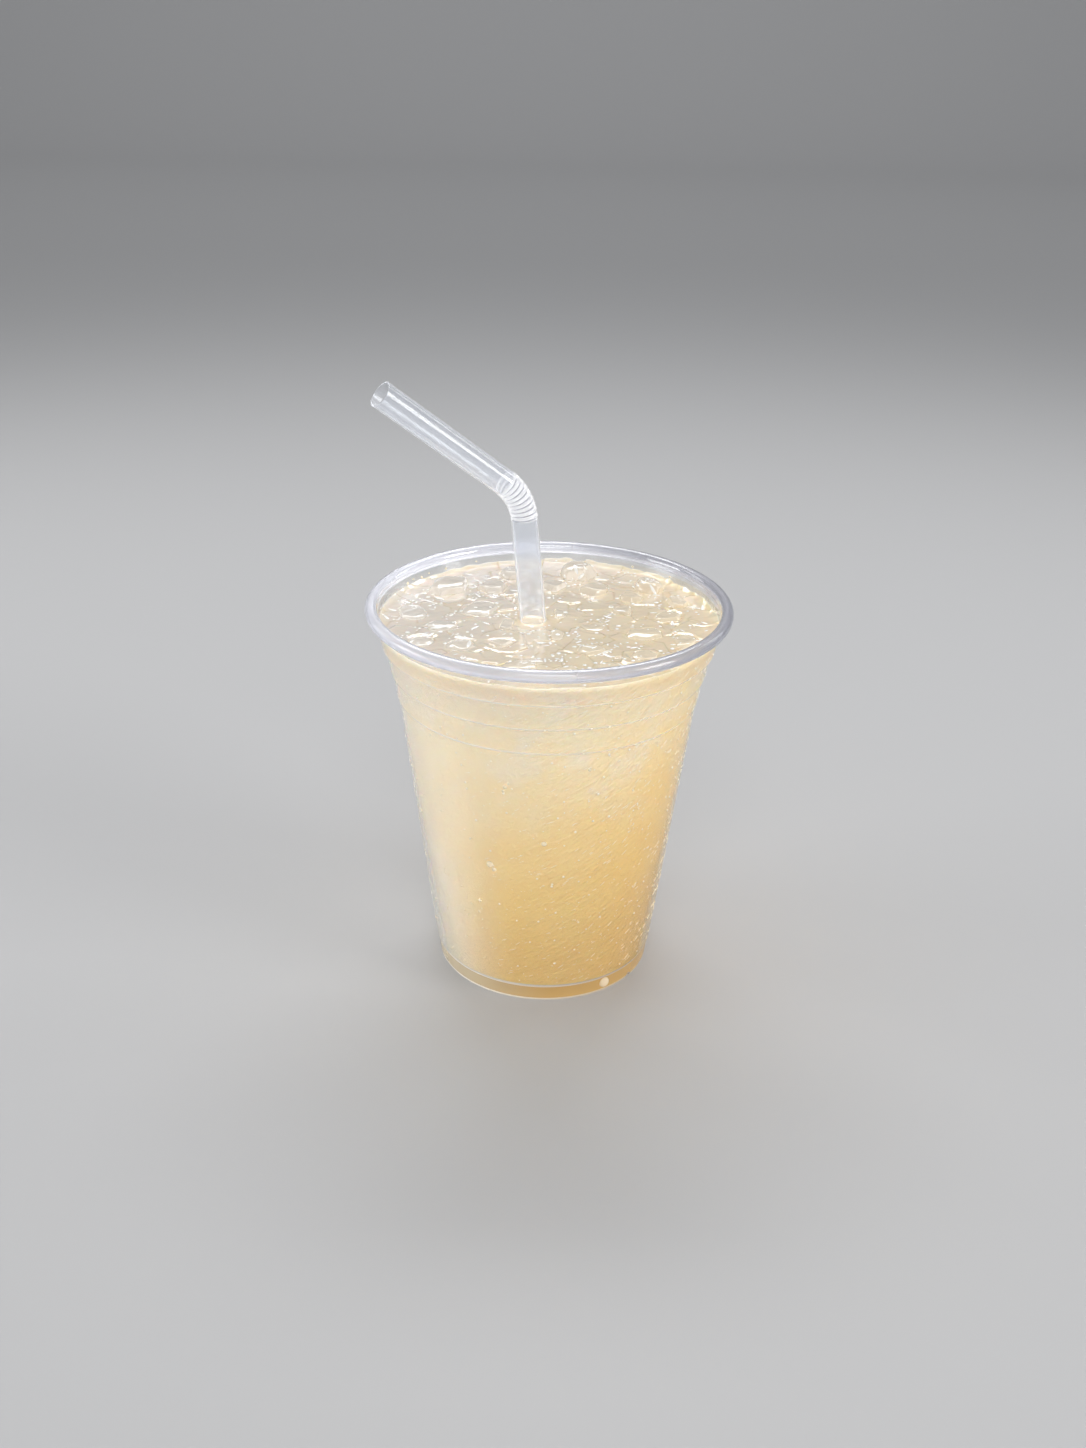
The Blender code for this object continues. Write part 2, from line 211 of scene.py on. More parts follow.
# How often the climb up the wall goes up and down, for each radius along the wall
COARSE_RAGS = 3.0
FINE_RAGS = 14.0
ICE_RISE = 0.25 * MM
ICE_RISE_REACH = 0.6 * MM
STRAW_RISE = 0.4 * MM
BED_DEPTH = 2.2 * MM
BED_SHOULDER = 0.5 * MM
# Near the level, the juice's faces whose normals point up by more than this are its top
LEAST_TOP_SLOPE = 0.2
SWELL_HEIGHT = 0.12 * MM
SWELL_LENGTH = 6.0 * MM
RIPPLE_HEIGHT = 0.03 * MM
RIPPLE_LENGTH = 1.6 * MM

# The juice's colour seen through the wall, as height and colour, and how far the shades drift up
# and down in clouds this long and lie lower for each step to the right. The paler cream at the top
# is partly the ice in the upper part and partly painted light from above; the deeper gold lower
# down and to the right is painted glow of light that passes through the juice
SHADE_DRIFT = 20.0 * MM
SHADE_CLOUD_LENGTH = 26.0 * MM
PAINTED_LIGHT_SLANT = -0.28
JUICE_SHADES = (
    (-20.0 * MM, (0.80, 0.54, 0.17)),
    (15.0 * MM, (0.82, 0.60, 0.24)),
    (34.0 * MM, (0.86, 0.66, 0.295)),
    (52.0 * MM, (0.88, 0.70, 0.365)),
    (70.0 * MM, (0.89, 0.76, 0.51)),
    (88.0 * MM, (0.89, 0.795, 0.60)),
    (102.0 * MM, (0.88, 0.80, 0.65)),
)

# Random shares are raised to these powers, so that small sizes are more common
PLATE_LIFT_POWER = 3
BUBBLE_RADIUS_POWER = 2
DROPLET_RADIUS_POWER = 4

# Flat pieces of ice just under the surface, which lift it
PLATE_SEED = 11
PLATE_TRIES = 4000
PLATE_CLEARANCE = 0.3 * MM
PLATE_SPACING = 6.0 * MM
PLATE_SIZES = (4.2 * MM, 9.0 * MM)
PLATE_SIDES = (5, 8)
PLATE_SIDE_SHARES = (0.6, 1.0)
PLATE_SIDE_SHIFTS = (-0.25, 0.25)
PLATE_LIFTS = (0.04 * MM, 0.55 * MM)
PLATE_TILTS = (-0.035, 0.035)
PLATE_SHOULDERS = (0.15 * MM, 0.6 * MM)
BORDER_WIDTH = 0.25 * MM
BORDER_AND_BORE_SHADE_STRENGTH = 0.55

# The straw, leaning left, bent over to the left and towards the viewer
STRAW_RADIUS = 3.5 * MM
STRAW_WALL = 0.3 * MM
STRAW_SIDES = 72
STRAW_ENTRY = Vector((-4.2 * MM, -0.9 * MM, DRINK_LEVEL))
STRAW_LEAN = math.radians(5.3)
STRAW_BOTTOM = 8.4 * MM
BEND_START = 130.4 * MM
BEND_LENGTH = 12.1 * MM
BEND_RIDGES = 9
RIDGE_HEIGHT = 0.15 * MM
VALLEY_DEPTH = 0.65 * MM
VALLEY_AT_SHARE = 0.2
RIDGE_AT_SHARE = 0.6
RIDGE_STEPS = 14
MOUTHPIECE_LENGTH = 41.3 * MM
MOUTHPIECE_RISE = math.radians(38.0)
MOUTHPIECE_TURN = math.radians(25.0)
# The unit directions of the straw's long part and of its mouthpiece, both going up
LONG_PART = Vector((-math.sin(STRAW_LEAN), 0.0, math.cos(STRAW_LEAN)))
MOUTHPIECE = Vector((
    -math.cos(MOUTHPIECE_RISE) * math.cos(MOUTHPIECE_TURN),
    -math.cos(MOUTHPIECE_RISE) * math.sin(MOUTHPIECE_TURN),
    math.sin(MOUTHPIECE_RISE),
))
BEND_ANGLE = LONG_PART.angle(MOUTHPIECE)
STRAW_END = STRAW_ENTRY + LONG_PART * (STRAW_BOTTOM - STRAW_ENTRY.z) / LONG_PART.z
LENGTH_BELOW_BEND = (BEND_START - STRAW_BOTTOM) / LONG_PART.z

# The ice: how far its surface is carved, and at what scale
ICE_COUNT = 30
ICE_SUBDIVISIONS = 3
MERGE_DISTANCE = 0.01 * MM
ICE_SEED = 31
ICE_TOP_TILTS_DEG = (1.0, 7.0)
ICE_TOP_CUTS = (0.2 * MM, 0.6 * MM)
ICE_SIDE_CUTS = 6
ICE_SIDE_SHIFTS = (-0.3, 0.3)
ICE_SIDE_RISES_DEG = (-5.0, 45.0)
ICE_SIDE_REACHES = (0.78, 0.94)
ICE_CARVING = 0.28 * MM
ICE_CARVING_LENGTH = 3.2 * MM
ICE_RIPPLE = 0.10 * MM
ICE_RIPPLE_LENGTH = 1.0 * MM
# How far apart in the noise the patterns of two lumps lie
ICE_CARVING_STEP = 10.0 * MM

# Bubbles on the surface, in clusters and on their own
BUBBLE_SEED = 23
BUBBLE_CLUSTERS = 80
CLUSTER_SIZES = (4, 12)
CLUSTER_REACH = 2.2 * MM
CLUSTER_WIDTH = CLUSTER_REACH / 3
BUBBLE_GAP = 0.2 * MM
LONE_BUBBLES = 240
BUBBLE_RADII = (0.30 * MM, 0.75 * MM)
BUBBLE_FLATNESS = 0.3
BUBBLE_SIDES = 7
# Some run together into short strokes
STROKE_CHANCE = 0.3
STROKE_THINNESS = 0.8
SURFACE_STRETCHES = (2.0, 4.5)

# Bubbles seen as rings, as x and y, with their radius and the ring's thickness
RING_BUBBLES = ((-21.5 * MM, -27.3 * MM), (17.0 * MM, 9.9 * MM), (-15.0 * MM, 17.5 * MM))
RING_BUBBLE_RADIUS = 0.62 * MM
RING_BUBBLE_THICKNESS = 0.17 * MM
RING_BUBBLE_STEPS = 28
# Slivers of fruit as x, y, length, width and turn in degrees
SLIVERS = (
    (32.8 * MM, 9.1 * MM, 2.2 * MM, 0.55 * MM, -55.0),
    (-12.0 * MM, -31.0 * MM, 1.5 * MM, 0.40 * MM, 20.0),
)
SLIVER_SIDES = 24

# A drop's outline as height and radius shares, for small drops and for ones seen clearly
SMALL_DOME = ((-0.12, 0.94), (0.36, 0.88), (0.86, 0.42))
LARGE_DOME = ((-0.12, 0.94), (0.06, 1.0), (0.30, 0.93), (0.58, 0.78), (0.80, 0.56), (0.94, 0.30))

# Condensation on the outside of the wall
DROPLET_SEED = 5
DROPLET_COUNT = 2600
DROPLET_HEIGHTS = (6.5 * MM, 100.0 * MM)
DROPLET_RADII = (0.10 * MM, 0.42 * MM)
DROPLET_FLATNESS = 0.5
DROPLET_SIDES = 7
# Drops that slid together into short strokes, mostly on the right
STROKE_COUNT = 500
STROKE_RADII = (0.06 * MM, 0.11 * MM)
STROKE_STRETCHES = (4.0, 12.0)
STROKE_RISES_DEG = (18.0, 44.0)
STROKE_MIDDLE_AZIMUTH_DEG = -58.0
STROKE_AZIMUTH_SPREAD_DEG = 42.0
# The wall's slope is taken over this much above and below a place
SLOPE_REACH = 0.5 * MM
# Larger drops as azimuth in degrees, height and radius
LARGE_DROPS = (
    (-113.6, 45.6 * MM, 1.0 * MM),
    (-111.8, 44.2 * MM, 0.7 * MM),
    (-90.4, 54.4 * MM, 0.75 * MM),
    (-105.5, 71.3 * MM, 0.6 * MM),
    (-104.2, 72.4 * MM, 0.4 * MM),
    (-106.3, 69.9 * MM, 0.4 * MM),
    (-55.5, 3.1 * MM, 1.6 * MM),
    (-120.1, 32.3 * MM, 0.5 * MM),
    (-74.0, 76.9 * MM, 0.5 * MM),
)
LARGE_FLATNESS = 0.7
LARGE_DROP_SIDES = 28

# Drops on the inside of the wall above the juice, in the same way
INNER_DROPS = (
    (151.0, 103.6 * MM, 0.45 * MM),
    (147.5, 103.9 * MM, 0.30 * MM),
    (143.0, 103.5 * MM, 0.38 * MM),
    (139.0, 103.8 * MM, 0.25 * MM),
    (131.0, 103.7 * MM, 0.34 * MM),
    (118.0, 103.9 * MM, 0.28 * MM),
    (58.0, 103.7 * MM, 0.32 * MM),
    (41.0, 103.9 * MM, 0.36 * MM),
)
INNER_FLATNESS = 0.5
INNER_DROP_SIDES = 14

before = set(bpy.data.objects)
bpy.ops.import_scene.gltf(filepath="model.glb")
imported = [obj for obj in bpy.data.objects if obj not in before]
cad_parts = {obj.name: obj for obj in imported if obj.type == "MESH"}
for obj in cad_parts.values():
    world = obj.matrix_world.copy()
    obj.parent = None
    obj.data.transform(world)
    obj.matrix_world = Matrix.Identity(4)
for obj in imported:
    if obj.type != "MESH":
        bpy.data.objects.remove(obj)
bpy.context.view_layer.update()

Plate = namedtuple("Plate", "x y size shoulder lift tilt_x tilt_y sides")


def smoothstep(value):
    value = np.clip(value, 0.0, 1.0)
    return value * value * (3.0 - 2.0 * value)


def level_direction(azimuth):
    return Vector((math.cos(azimuth), math.sin(azimuth), 0.0))


def add_object(name, data, *materials):
    made = bpy.data.objects.new(name, data)
    bpy.context.scene.collection.objects.link(made)
    for material in materials:
        data.materials.append(material)
    return made


def finish_piece(piece, slot, *replaced):
    """The piece rides on the part's one body and stands for the nodes that it replaces."""
    piece.data.shade_smooth()
    piece.data.set_sharp_from_angle(angle=SHARP_ANGLE)
    if replaced:
        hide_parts(*replaced)
    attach(piece, "root")


def feed(socket, value):
    """Links an output to the socket, or sets the socket to a plain value."""
    if isinstance(value, bpy.types.NodeSocket):
        socket.id_data.links.new(value, socket)
    else:
        socket.default_value = value


def add_node(tree, kind, inputs=(), **settings):
    """A shader node with its settings, each input linked or set to a plain value."""
    made = tree.nodes.new("ShaderNode" + kind)
    for setting, value in settings.items():
        setattr(made, setting, value)
    for name, value in dict(inputs).items():
        feed(made.inputs[name], value)
    return made


def new_material(name):
    """A material, and the place on the object at which its patterns are read."""
    material = bpy.data.materials.new(name)
    material.use_nodes = True
    material.node_tree.nodes.clear()
    return material, add_node(material.node_tree, "TexCoord").outputs["Object"]


def rgba(colour):
    """A plain colour with its alpha, or an output as it is."""
    return (*colour, 1.0) if isinstance(colour, tuple) else colour


def calculate(operation, first, second):
    inputs = {0: first, 1: second}
    return add_node(first.id_data, "Math", inputs, operation=operation).outputs[0]


def spread(value, low, high, to_low=0.0, to_high=1.0):
    """The value's range from low to high, eased and mapped to another range."""
    inputs = {"Value": value, "From Min": low, "From Max": high, "To Min": to_low, "To Max": to_high}
    made = add_node(value.id_data, "MapRange", inputs, interpolation_type="SMOOTHSTEP")
    return made.outputs["Result"]


def blend_colours(factor, first, second):
    inputs = {"Factor": factor, "A": rgba(first), "B": rgba(second)}
    return add_node(factor.id_data, "Mix", inputs, data_type="RGBA").outputs["Result"]


def place_parts(place):
    return add_node(place.id_data, "SeparateXYZ", {0: place}).outputs


def noise_pattern(place, length, detail=3.0, distortion=0.0):
    """A cloudy pattern from 0 to 1 whose features are about this long."""
    inputs = {"Vector": place, "Scale": 1.0 / length, "Detail": detail, "Distortion": distortion}
    return add_node(place.id_data, "TexNoise", inputs).outputs["Fac"]


def patchy(place, length, low, high):
    """A value that drifts between two others in patches that are about this long."""
    return spread(noise_pattern(place, length), *NOISE_RANGE, low, high)


def bump(height, distance, strength=1.0):
    inputs = {"Height": height, "Distance": distance, "Strength": strength}
    return add_node(height.id_data, "Bump", inputs).outputs["Normal"]


def layer_facing(place):
    """0 where the surface faces the eye and 1 where it is seen edge on."""
    return add_node(place.id_data, "LayerWeight").outputs["Facing"]


def mesh_value(place, name):
    """A value that the mesh carries at its points."""
    return add_node(place.id_data, "Attribute", attribute_name=name).outputs["Fac"]


def show(shader):
    """Ends the material with this shader."""
    add_node(shader.id_data, "OutputMaterial", {"Surface": shader.outputs[0]})


def show_clear(shader):
    """Ends the material so that lamps reach what lies behind the clear surface."""
    tree = shader.id_data
    in_shadow = add_node(tree, "LightPath").outputs["Is Shadow Ray"]
    lamp_light = add_node(tree, "BsdfTransparent").outputs[0]
    show(add_node(tree, "MixShader", {0: in_shadow, 1: shader.outputs[0], 2: lamp_light}))


def clear_shader(colour, roughness, ior, normal=None, clearness=1.0):
    """A clear surface, whose socket for clearness keeps the value 1 where a link feeds it."""
    inputs = {"Base Color": rgba(colour), "Roughness": roughness, "IOR": ior}
    if normal:
        inputs["Normal"] = normal
    shader = add_node(roughness.id_data, "BsdfPrincipled", inputs)
    shader.inputs["Transmission Weight"].default_value = 1.0
    feed(shader.inputs["Transmission Weight"], clearness)
    return shader


def cloudy_shader(colour, roughness, normal):
    """A cloudy liquid that light enters a little way."""
    inputs = {
        "Base Color": colour,
        "Roughness": roughness,
        "Normal": normal,
        "IOR": JUICE_IOR,
        "Subsurface Weight": 0.6,
        "Subsurface Radius": (1.0, 0.7, 0.4),
        "Subsurface Scale": 4.0 * MM,
    }
    return add_node(colour.id_data, "BsdfPrincipled", inputs)


def make_wet(shader):
    """A thin film of liquid, which glints."""
    shader.inputs["Coat Weight"].default_value = 1.0
    shader.inputs["Coat Roughness"].default_value = 0.03
    shader.inputs["Coat IOR"].default_value = 1.6


def clear_plastic_material():
    """Smooth clear plastic with faint waves from moulding."""
    material, place = new_material("clear_plastic")
    normal = bump(noise_pattern(place, 7.0 * MM, detail=2.0), 0.03 * MM, 0.4)
    roughness = patchy(place, 3.0 * MM, 0.02, 0.07)
    show_clear(clear_shader(CLEAR_COLOUR, roughness, CUP_IOR, normal))
    return material


def milky_plastic_material(name, colours, clearnesses, roughnesses):
    """Milky plastic for the rim, the ledges and the foot's edges, paler and milkier on the left as
    painted highlight and darker on the right as painted shade.
    """
    material, place = new_material(name)
    across = place_parts(place)["X"]
    # Painted light: paler and milkier to the left, where the light falls, and darker to the right
    colour = blend_colours(spread(across, -5.0 * MM, 50.0 * MM), *colours)
    clearness = spread(across, -38.0 * MM, 32.0 * MM, *clearnesses)
    roughness = patchy(place, 5.0 * MM, *roughnesses)
    show_clear(clear_shader(colour, roughness, CUP_IOR, clearness=clearness))
    return material


def foot_plastic_material():
    """The foot, painted golden as the glow of light that passed through the juice, paler to the left.
    """
    material, place = new_material("foot_glow_plastic")
    to_the_right = spread(place_parts(place)["X"], -26.0 * MM, 5.0 * MM)
    colour = blend_colours(to_the_right, *FOOT_GLOW_COLOURS)
    roughness = patchy(place, 6.0 * MM, 0.12, 0.24)
    show_clear(clear_shader(colour, roughness, CUP_IOR, clearness=FOOT_CLEARNESS))
    return material


def slanting_strokes(place):
    """A pattern of short strokes that rise to the right."""
    turn = (0.0, math.radians(STROKE_PATTERN_TURN_DEG), 0.0)
    inputs = {"Vector": place, "Rotation": turn, "Scale": STROKE_PATTERN_SHARES}
    turned = add_node(place.id_data, "Mapping", inputs, vector_type="TEXTURE")
    return noise_pattern(turned.outputs[0], STROKE_PATTERN_LENGTH)


def sideways(place):
    """How far to the left or right a place on the wall is, from -1 to 1."""
    tree = place.id_data
    flat = add_node(tree, "VectorMath", {0: place, 1: (1.0, 1.0, 0.0)}, operation="MULTIPLY")
    from_axis = add_node(tree, "VectorMath", {0: flat.outputs[0]}, operation="LENGTH")
    return calculate("DIVIDE", place_parts(place)["X"], from_axis.outputs["Value"])


def misted_plastic_material():
    """The outside of the wall, with the relief of condensation too fine to model, and mist painted
    pale on the left and in the middle as painted sheen, golden towards the right.
    """
    material, place = new_material("misted_plastic")
    grain = noise_pattern(place, 0.8 * MM, detail=4.0)
    normal = bump(calculate("ADD", grain, slanting_strokes(place)), 0.07 * MM, 0.8)
    # Painted sheen: the mist is pale on the left and in the middle and golden towards the right edge
    colour = blend_colours(spread(sideways(place), 0.1, 1.0), *MIST_AND_SHEEN_COLOURS)
    clearness = spread(layer_facing(place), 0.84, 0.96, 0.965, 0.48)
    roughness = patchy(place, 9.0 * MM, 0.12, 0.20)
    show_clear(clear_shader(colour, roughness, CUP_IOR, normal, clearness))
    return material


def straw_plastic_material(name, colour, clearness):
    """Plastic with a haze in it, milkier at its edges, with painted shade darkening the valleys of the
    bend.
    """
    material, place = new_material(name)
    # Painted shade in the bend's valleys, from the ridge value that the mesh carries
    on_ridge = spread(mesh_value(place, "ridge"), 0.0, 0.8)
    colour = blend_colours(on_ridge, VALLEY_SHADE_COLOUR, colour)
    haze = spread(layer_facing(place), 0.35, 0.90, clearness, STRAW_EDGE_SHARE * clearness)
    roughness = patchy(place, 2.5 * MM, 0.11, 0.13)
    show_clear(clear_shader(colour, roughness, STRAW_IOR, clearness=haze))
    return material


def rightward(place):
    """How far to the right and to the front a place on the drink's top is, from 0 to 1."""
    x, y, _ = place_parts(place)
    return spread(calculate("ADD", x, calculate("MULTIPLY", y, -0.5)), -34.0 * MM, 34.0 * MM)


def ice_material():
    """Wet ice, as cloudy as the juice that it lies in and a little clearer at the back."""
    material, place = new_material("ice")
    cloud = noise_pattern(place, 3.0 * MM, detail=4.0)
    normal = bump(noise_pattern(place, 1.4 * MM, distortion=0.4), 0.05 * MM, 0.6)
    colour = blend_colours(rightward(place), *ICE_COLOURS)
    clearness = spread(place_parts(place)["Y"], -8.0 * MM, 28.0 * MM, 0.05, 0.12)
    roughness = spread(cloud, 0.45, 0.75, 0.01, 0.10)
    shader = clear_shader(colour, roughness, ICE_IOR, normal, clearness)
    make_wet(shader)
    show_clear(shader)
    return material


def water_material():
    """Drops large enough to tell their form, with the juice's colour in them."""
    material, place = new_material("water")
    roughness = patchy(place, 2.0 * MM, 0.0, 0.04)
    show_clear(clear_shader(WATER_COLOUR, roughness, WATER_IOR, clearness=WATER_CLEARNESS))
    return material


def speck_shader(place, colour, ior):
    """Drops or bubbles too small to see into: pale, with a glint."""
    return clear_shader(colour, patchy(place, 2.0 * MM, 0.05, 0.12), ior, clearness=0.0)


def speck_material(name, colour, ior):
    material, place = new_material(name)
    show(speck_shader(place, colour, ior))
    return material


def droplet_material():
    """Fine condensation, paler further up, as the juice behind it is."""
    material, place = new_material("droplet")
    upward = spread(place_parts(place)["Z"], 20.0 * MM, 80.0 * MM)
    show(speck_shader(place, blend_colours(upward, *DROPLET_COLOURS), DROPLET_IOR))
    return material


def shade_at(height):
    """The juice's colour at a height, eased from one shade to the next."""
    lowest, highest = JUICE_SHADES[0][0], JUICE_SHADES[-1][0]
    share = calculate("DIVIDE", calculate("SUBTRACT", height, lowest), highest - lowest)
    ramp = add_node(height.id_data, "ValToRGB", {"Fac": share})
    ramp.color_ramp.interpolation = "EASE"
    elements = ramp.color_ramp.elements
    elements[0].color = rgba(JUICE_SHADES[0][1])
    elements[1].color = rgba(JUICE_SHADES[-1][1])
    for shade_height, shade in JUICE_SHADES[1:-1]:
        elements.new((shade_height - lowest) / (highest - lowest)).color = rgba(shade)
    return ramp.outputs["Color"]


def juice_side_material():
    """Cloudy juice with pale ice inside: cream at the top and golden lower down and to the right,
    partly painted light, with painted shade at its top edge and mist with painted sheen at the left.
    """
    material, place = new_material("juice_side")
    x, _, z = place_parts(place)
    clouds = noise_pattern(place, SHADE_CLOUD_LENGTH, detail=2.0, distortion=0.6)
    drift = calculate("MULTIPLY", calculate("SUBTRACT", clouds, 0.5), SHADE_DRIFT)
    # Painted glow: the shades lie lower to the right, so the right side is more golden
    painted_light_shift = calculate("MULTIPLY", x, PAINTED_LIGHT_SLANT)
    colour = shade_at(calculate("ADD", z, calculate("ADD", drift, painted_light_shift)))
    patches = noise_pattern(place, 12.0 * MM, detail=1.5, distortion=0.8)
    upper_part = spread(z, 50.0 * MM, 82.0 * MM, 0.0, 0.6)
    sunk_ice = calculate("MULTIPLY", spread(patches, 0.45, 0.68), upper_part)
    colour = blend_colours(sunk_ice, colour, SUNK_ICE_COLOUR)
    # Painted shade: a darker band along the top edge, holding back the light that comes in from the
    # drink's top
    top_edge_shade = spread(z, 97.0 * MM, 101.5 * MM, 0.0, 0.3)
    colour = blend_colours(top_edge_shade, colour, TOP_EDGE_SHADE_COLOUR)
    # Pale mist at the left that grows stronger lower down: partly condensation on the wall, partly
    # painted sheen of the light at the left and painted reflection of the floor
    lower_mist_and_sheen = spread(z, 95.0 * MM, 25.0 * MM, 0.4, 1.0)
    mist_and_sheen = calculate("MULTIPLY", spread(sideways(place), -0.2, -1.02), lower_mist_and_sheen)
    colour = blend_colours(mist_and_sheen, colour, LEFT_MIST_AND_SHEEN_COLOUR)
    grain = noise_pattern(place, 1.0 * MM, detail=4.0, distortion=0.3)
    roughness = spread(grain, *NOISE_RANGE, 0.35, 0.5)
    to_the_right = spread(x, -25.0 * MM, 15.0 * MM)
    strokes = calculate("MULTIPLY", slanting_strokes(place), to_the_right)
    relief = calculate("ADD", calculate("MULTIPLY", grain, 0.5), strokes)
    show(cloudy_shader(colour, roughness, bump(relief, 0.6 * MM)))
    return material


def juice_top_material():
    """The wet top: golden juice between pieces of greyer ice that lie just under it."""
    material, place = new_material("juice_top")
    right_hand = rightward(place)
    film = blend_colours(right_hand, *FILM_COLOURS)
    icy = blend_colours(right_hand, *ICY_COLOURS)
    colour = blend_colours(mesh_value(place, "near_ice"), film, icy)
    # Darker lines at the plates' borders, and painted shade on the juice inside the straw's bore
    outline = calculate("MULTIPLY", mesh_value(place, "border_and_bore_shade"), BORDER_AND_BORE_SHADE_STRENGTH)
    colour = blend_colours(outline, colour, BORDER_AND_BORE_SHADE_COLOUR)
    ripples = noise_pattern(place, 1.5 * MM, detail=4.0, distortion=0.3)
    roughness = spread(ripples, *NOISE_RANGE, 0.04, 0.10)
    shader = cloudy_shader(colour, roughness, bump(ripples, 0.04 * MM, 0.5))
    make_wet(shader)
    show(shader)
    return material


def arc(centre, radius, start_deg, end_deg, steps):
    """Points along a circle's arc in the outline's plane, both ends included."""
    points = []
    for step in range(steps + 1):
        angle = math.radians(start_deg + (end_deg - start_deg) * step / steps)
        points.append((centre[0] + radius * math.cos(angle), centre[1] + radius * math.sin(angle)))
    return points


def rounded(corners, reach, steps):
    """The outline with every inner corner turned into a short curve."""
    smooth = [corners[0]]
    for before, corner, after in zip(corners, corners[1:], corners[2:]):
        before, corner, after = Vector(before), Vector(corner), Vector(after)
        start = corner.lerp(before, min(reach / (before - corner).length, 0.5))
        end = corner.lerp(after, min(reach / (after - corner).length, 0.5))
        for step in range(steps + 1):
            along = step / steps
            point = start.lerp(corner, along).lerp(corner.lerp(end, along), along)
            smooth.append((point.x, point.y))
    smooth.append(corners[-1])
    return smooth


def ring_faces(first, second):
    """Faces between two rings of which the second has as many points, half as many or one."""
    count = len(first)
    if len(second) == 1:
        return [(second[0], first[(i + 1) % count], first[i]) for i in range(count)]
    if len(second) == count:
        return [
            (first[i], second[i], second[(i + 1) % count], first[(i + 1) % count])
            for i in range(count)
        ]
    faces = []
    for i in range(len(second)):
        left, middle, right = first[2 * i], first[2 * i + 1], first[(2 * i + 2) % count]
        inner, inner_next = second[i], second[(i + 1) % len(second)]
        faces += [(left, inner, middle), (middle, inner, inner_next), (middle, inner_next, right)]
    return faces


def loft(name, shapes, closed=False):
    """One mesh of shapes that each run over rings of points, their faces pointing out.

    A closed shape runs from its last ring back to its first. The others end in caps.
    """
    verts = []
    faces = []
    for rings in shapes:
        spans = []
        for ring in rings:
            spans.append(range(len(verts), len(verts) + len(ring)))
            verts += ring
        if closed:
            spans.append(spans[0])
        for first, second in zip(spans, spans[1:]):
            if len(first) >= len(second):
                faces += ring_faces(first, second)
            else:
                faces += [face[::-1] for face in ring_faces(second, first)]
        if not closed:
            faces += [tuple(span) for span in (spans[0], spans[-1]) if len(span) > 1]
    mesh = bpy.data.meshes.new(name)
    mesh.from_pydata(verts, [], faces)
    shape = bmesh.new()
    shape.from_mesh(mesh)
    bmesh.ops.recalc_face_normals(shape, faces=shape.faces)
    shape.to_mesh(mesh)
    shape.free()
    return mesh


def carry_values(mesh, name, values):
    """Gives each of the mesh's points a value that its material reads."""
    mesh.attributes.new(name, "FLOAT", "POINT").data.foreach_set("value", values)


def turned_ring(radius, height, segments):
    if radius == 0.0:
        return [(0.0, 0.0, height)]
    angles = [math.tau * step / segments for step in range(segments)]
    return [(radius * math.cos(angle), radius * math.sin(angle), height) for angle in angles]


def wall_radius(height, corners=OUTER_WALL):
    """The wall's radius at a height, held at its ends beyond them."""
    heights = [corner[0] for corner in corners]
    radii = [corner[1] for corner in corners]
    return float(np.interp(height, heights, radii))


def wall_outline(corners, inset, lowest, highest, reach):
    """The wall's rounded corners between two heights, moved in by the inset, going up."""
    heights = [height for height, _ in corners if lowest < height < highest]
    points = [(wall_radius(height, corners) - inset, height) for height in heights]
    first = (wall_radius(lowest, corners) - inset, lowest)
    last = (wall_radius(highest, corners) - inset, highest)
    return rounded([first, *points, last], reach, WALL_CORNER_STEPS)


def floor_outline(edge_height):
    """The domed floor from the axis to its edge."""
    points = []
    for ring in range(FLOOR_RINGS + 1):
        share = ring / FLOOR_RINGS
        height = edge_height + FLOOR_DOME * (1.0 - share * share)
        points.append((FLOOR_EDGE_RADIUS * share, height))
    return points


def cup_outline():
    """Up the inside, over the rolled rim, down the outside and under the floor."""
    curl_centre = (RIM_RADIUS - CURL_RADIUS, CUP_HEIGHT - CURL_RADIUS)
    wall_foot, wall_top = OUTER_WALL[0][0], OUTER_WALL[-1][0]
    inside = floor_outline(FLOOR_TOP)
    inner_foot = FLOOR_TOP + CUP_WALL
    inside += wall_outline(EVEN_WALL, CUP_WALL, inner_foot, wall_top, EVEN_CORNER_REACH)
    curl_face = arc(curl_centre, CURL_RADIUS, CURL_START_DEG, CURL_END_DEG, CURL_OUTER_STEPS)
    hollow_radius = CURL_RADIUS - CUP_WALL
    curl_back = arc(curl_centre, hollow_radius, CURL_END_DEG, CURL_START_DEG, CURL_INNER_STEPS)
    outside = wall_outline(OUTER_WALL, 0.0, wall_foot, wall_top, OUTER_CORNER_REACH)[::-1]
    foot_line = ((FOOT_EDGE, FOOT_RADIUS), (FOOT_TOP, FOOT_TOP_RADIUS))
    foot_corners = [
        (FOOT_TOP_RADIUS, FOOT_TOP),
        *((wall_radius(height, foot_line), height) for height in reversed(FOOT_GLOW_HEIGHTS)),
        (FOOT_RADIUS, FOOT_EDGE),
        (FOOT_RADIUS - FOOT_EDGE, 0.0),
        (FOOT_RADIUS - FOOT_FOLD, 0.0),
        (FOOT_TOP_RADIUS - FOOT_FOLD, FLOOR_TOP - 2 * CUP_WALL),
    ]
    foot = rounded(foot_corners, FOOT_EDGE / 2, 2)
    underside = floor_outline(FLOOR_TOP - CUP_WALL)[::-1]
    return [*inside, *curl_face, *curl_back, *outside, *foot, *underside]


def settle(piece):
    """Replaces the piece's mesh with what its modifiers make of it."""
    bpy.context.view_layer.update()
    evaluated = piece.evaluated_get(bpy.context.evaluated_depsgraph_get())
    mesh = bpy.data.meshes.new_from_object(evaluated)
    piece.modifiers.clear()
    piece.data = mesh


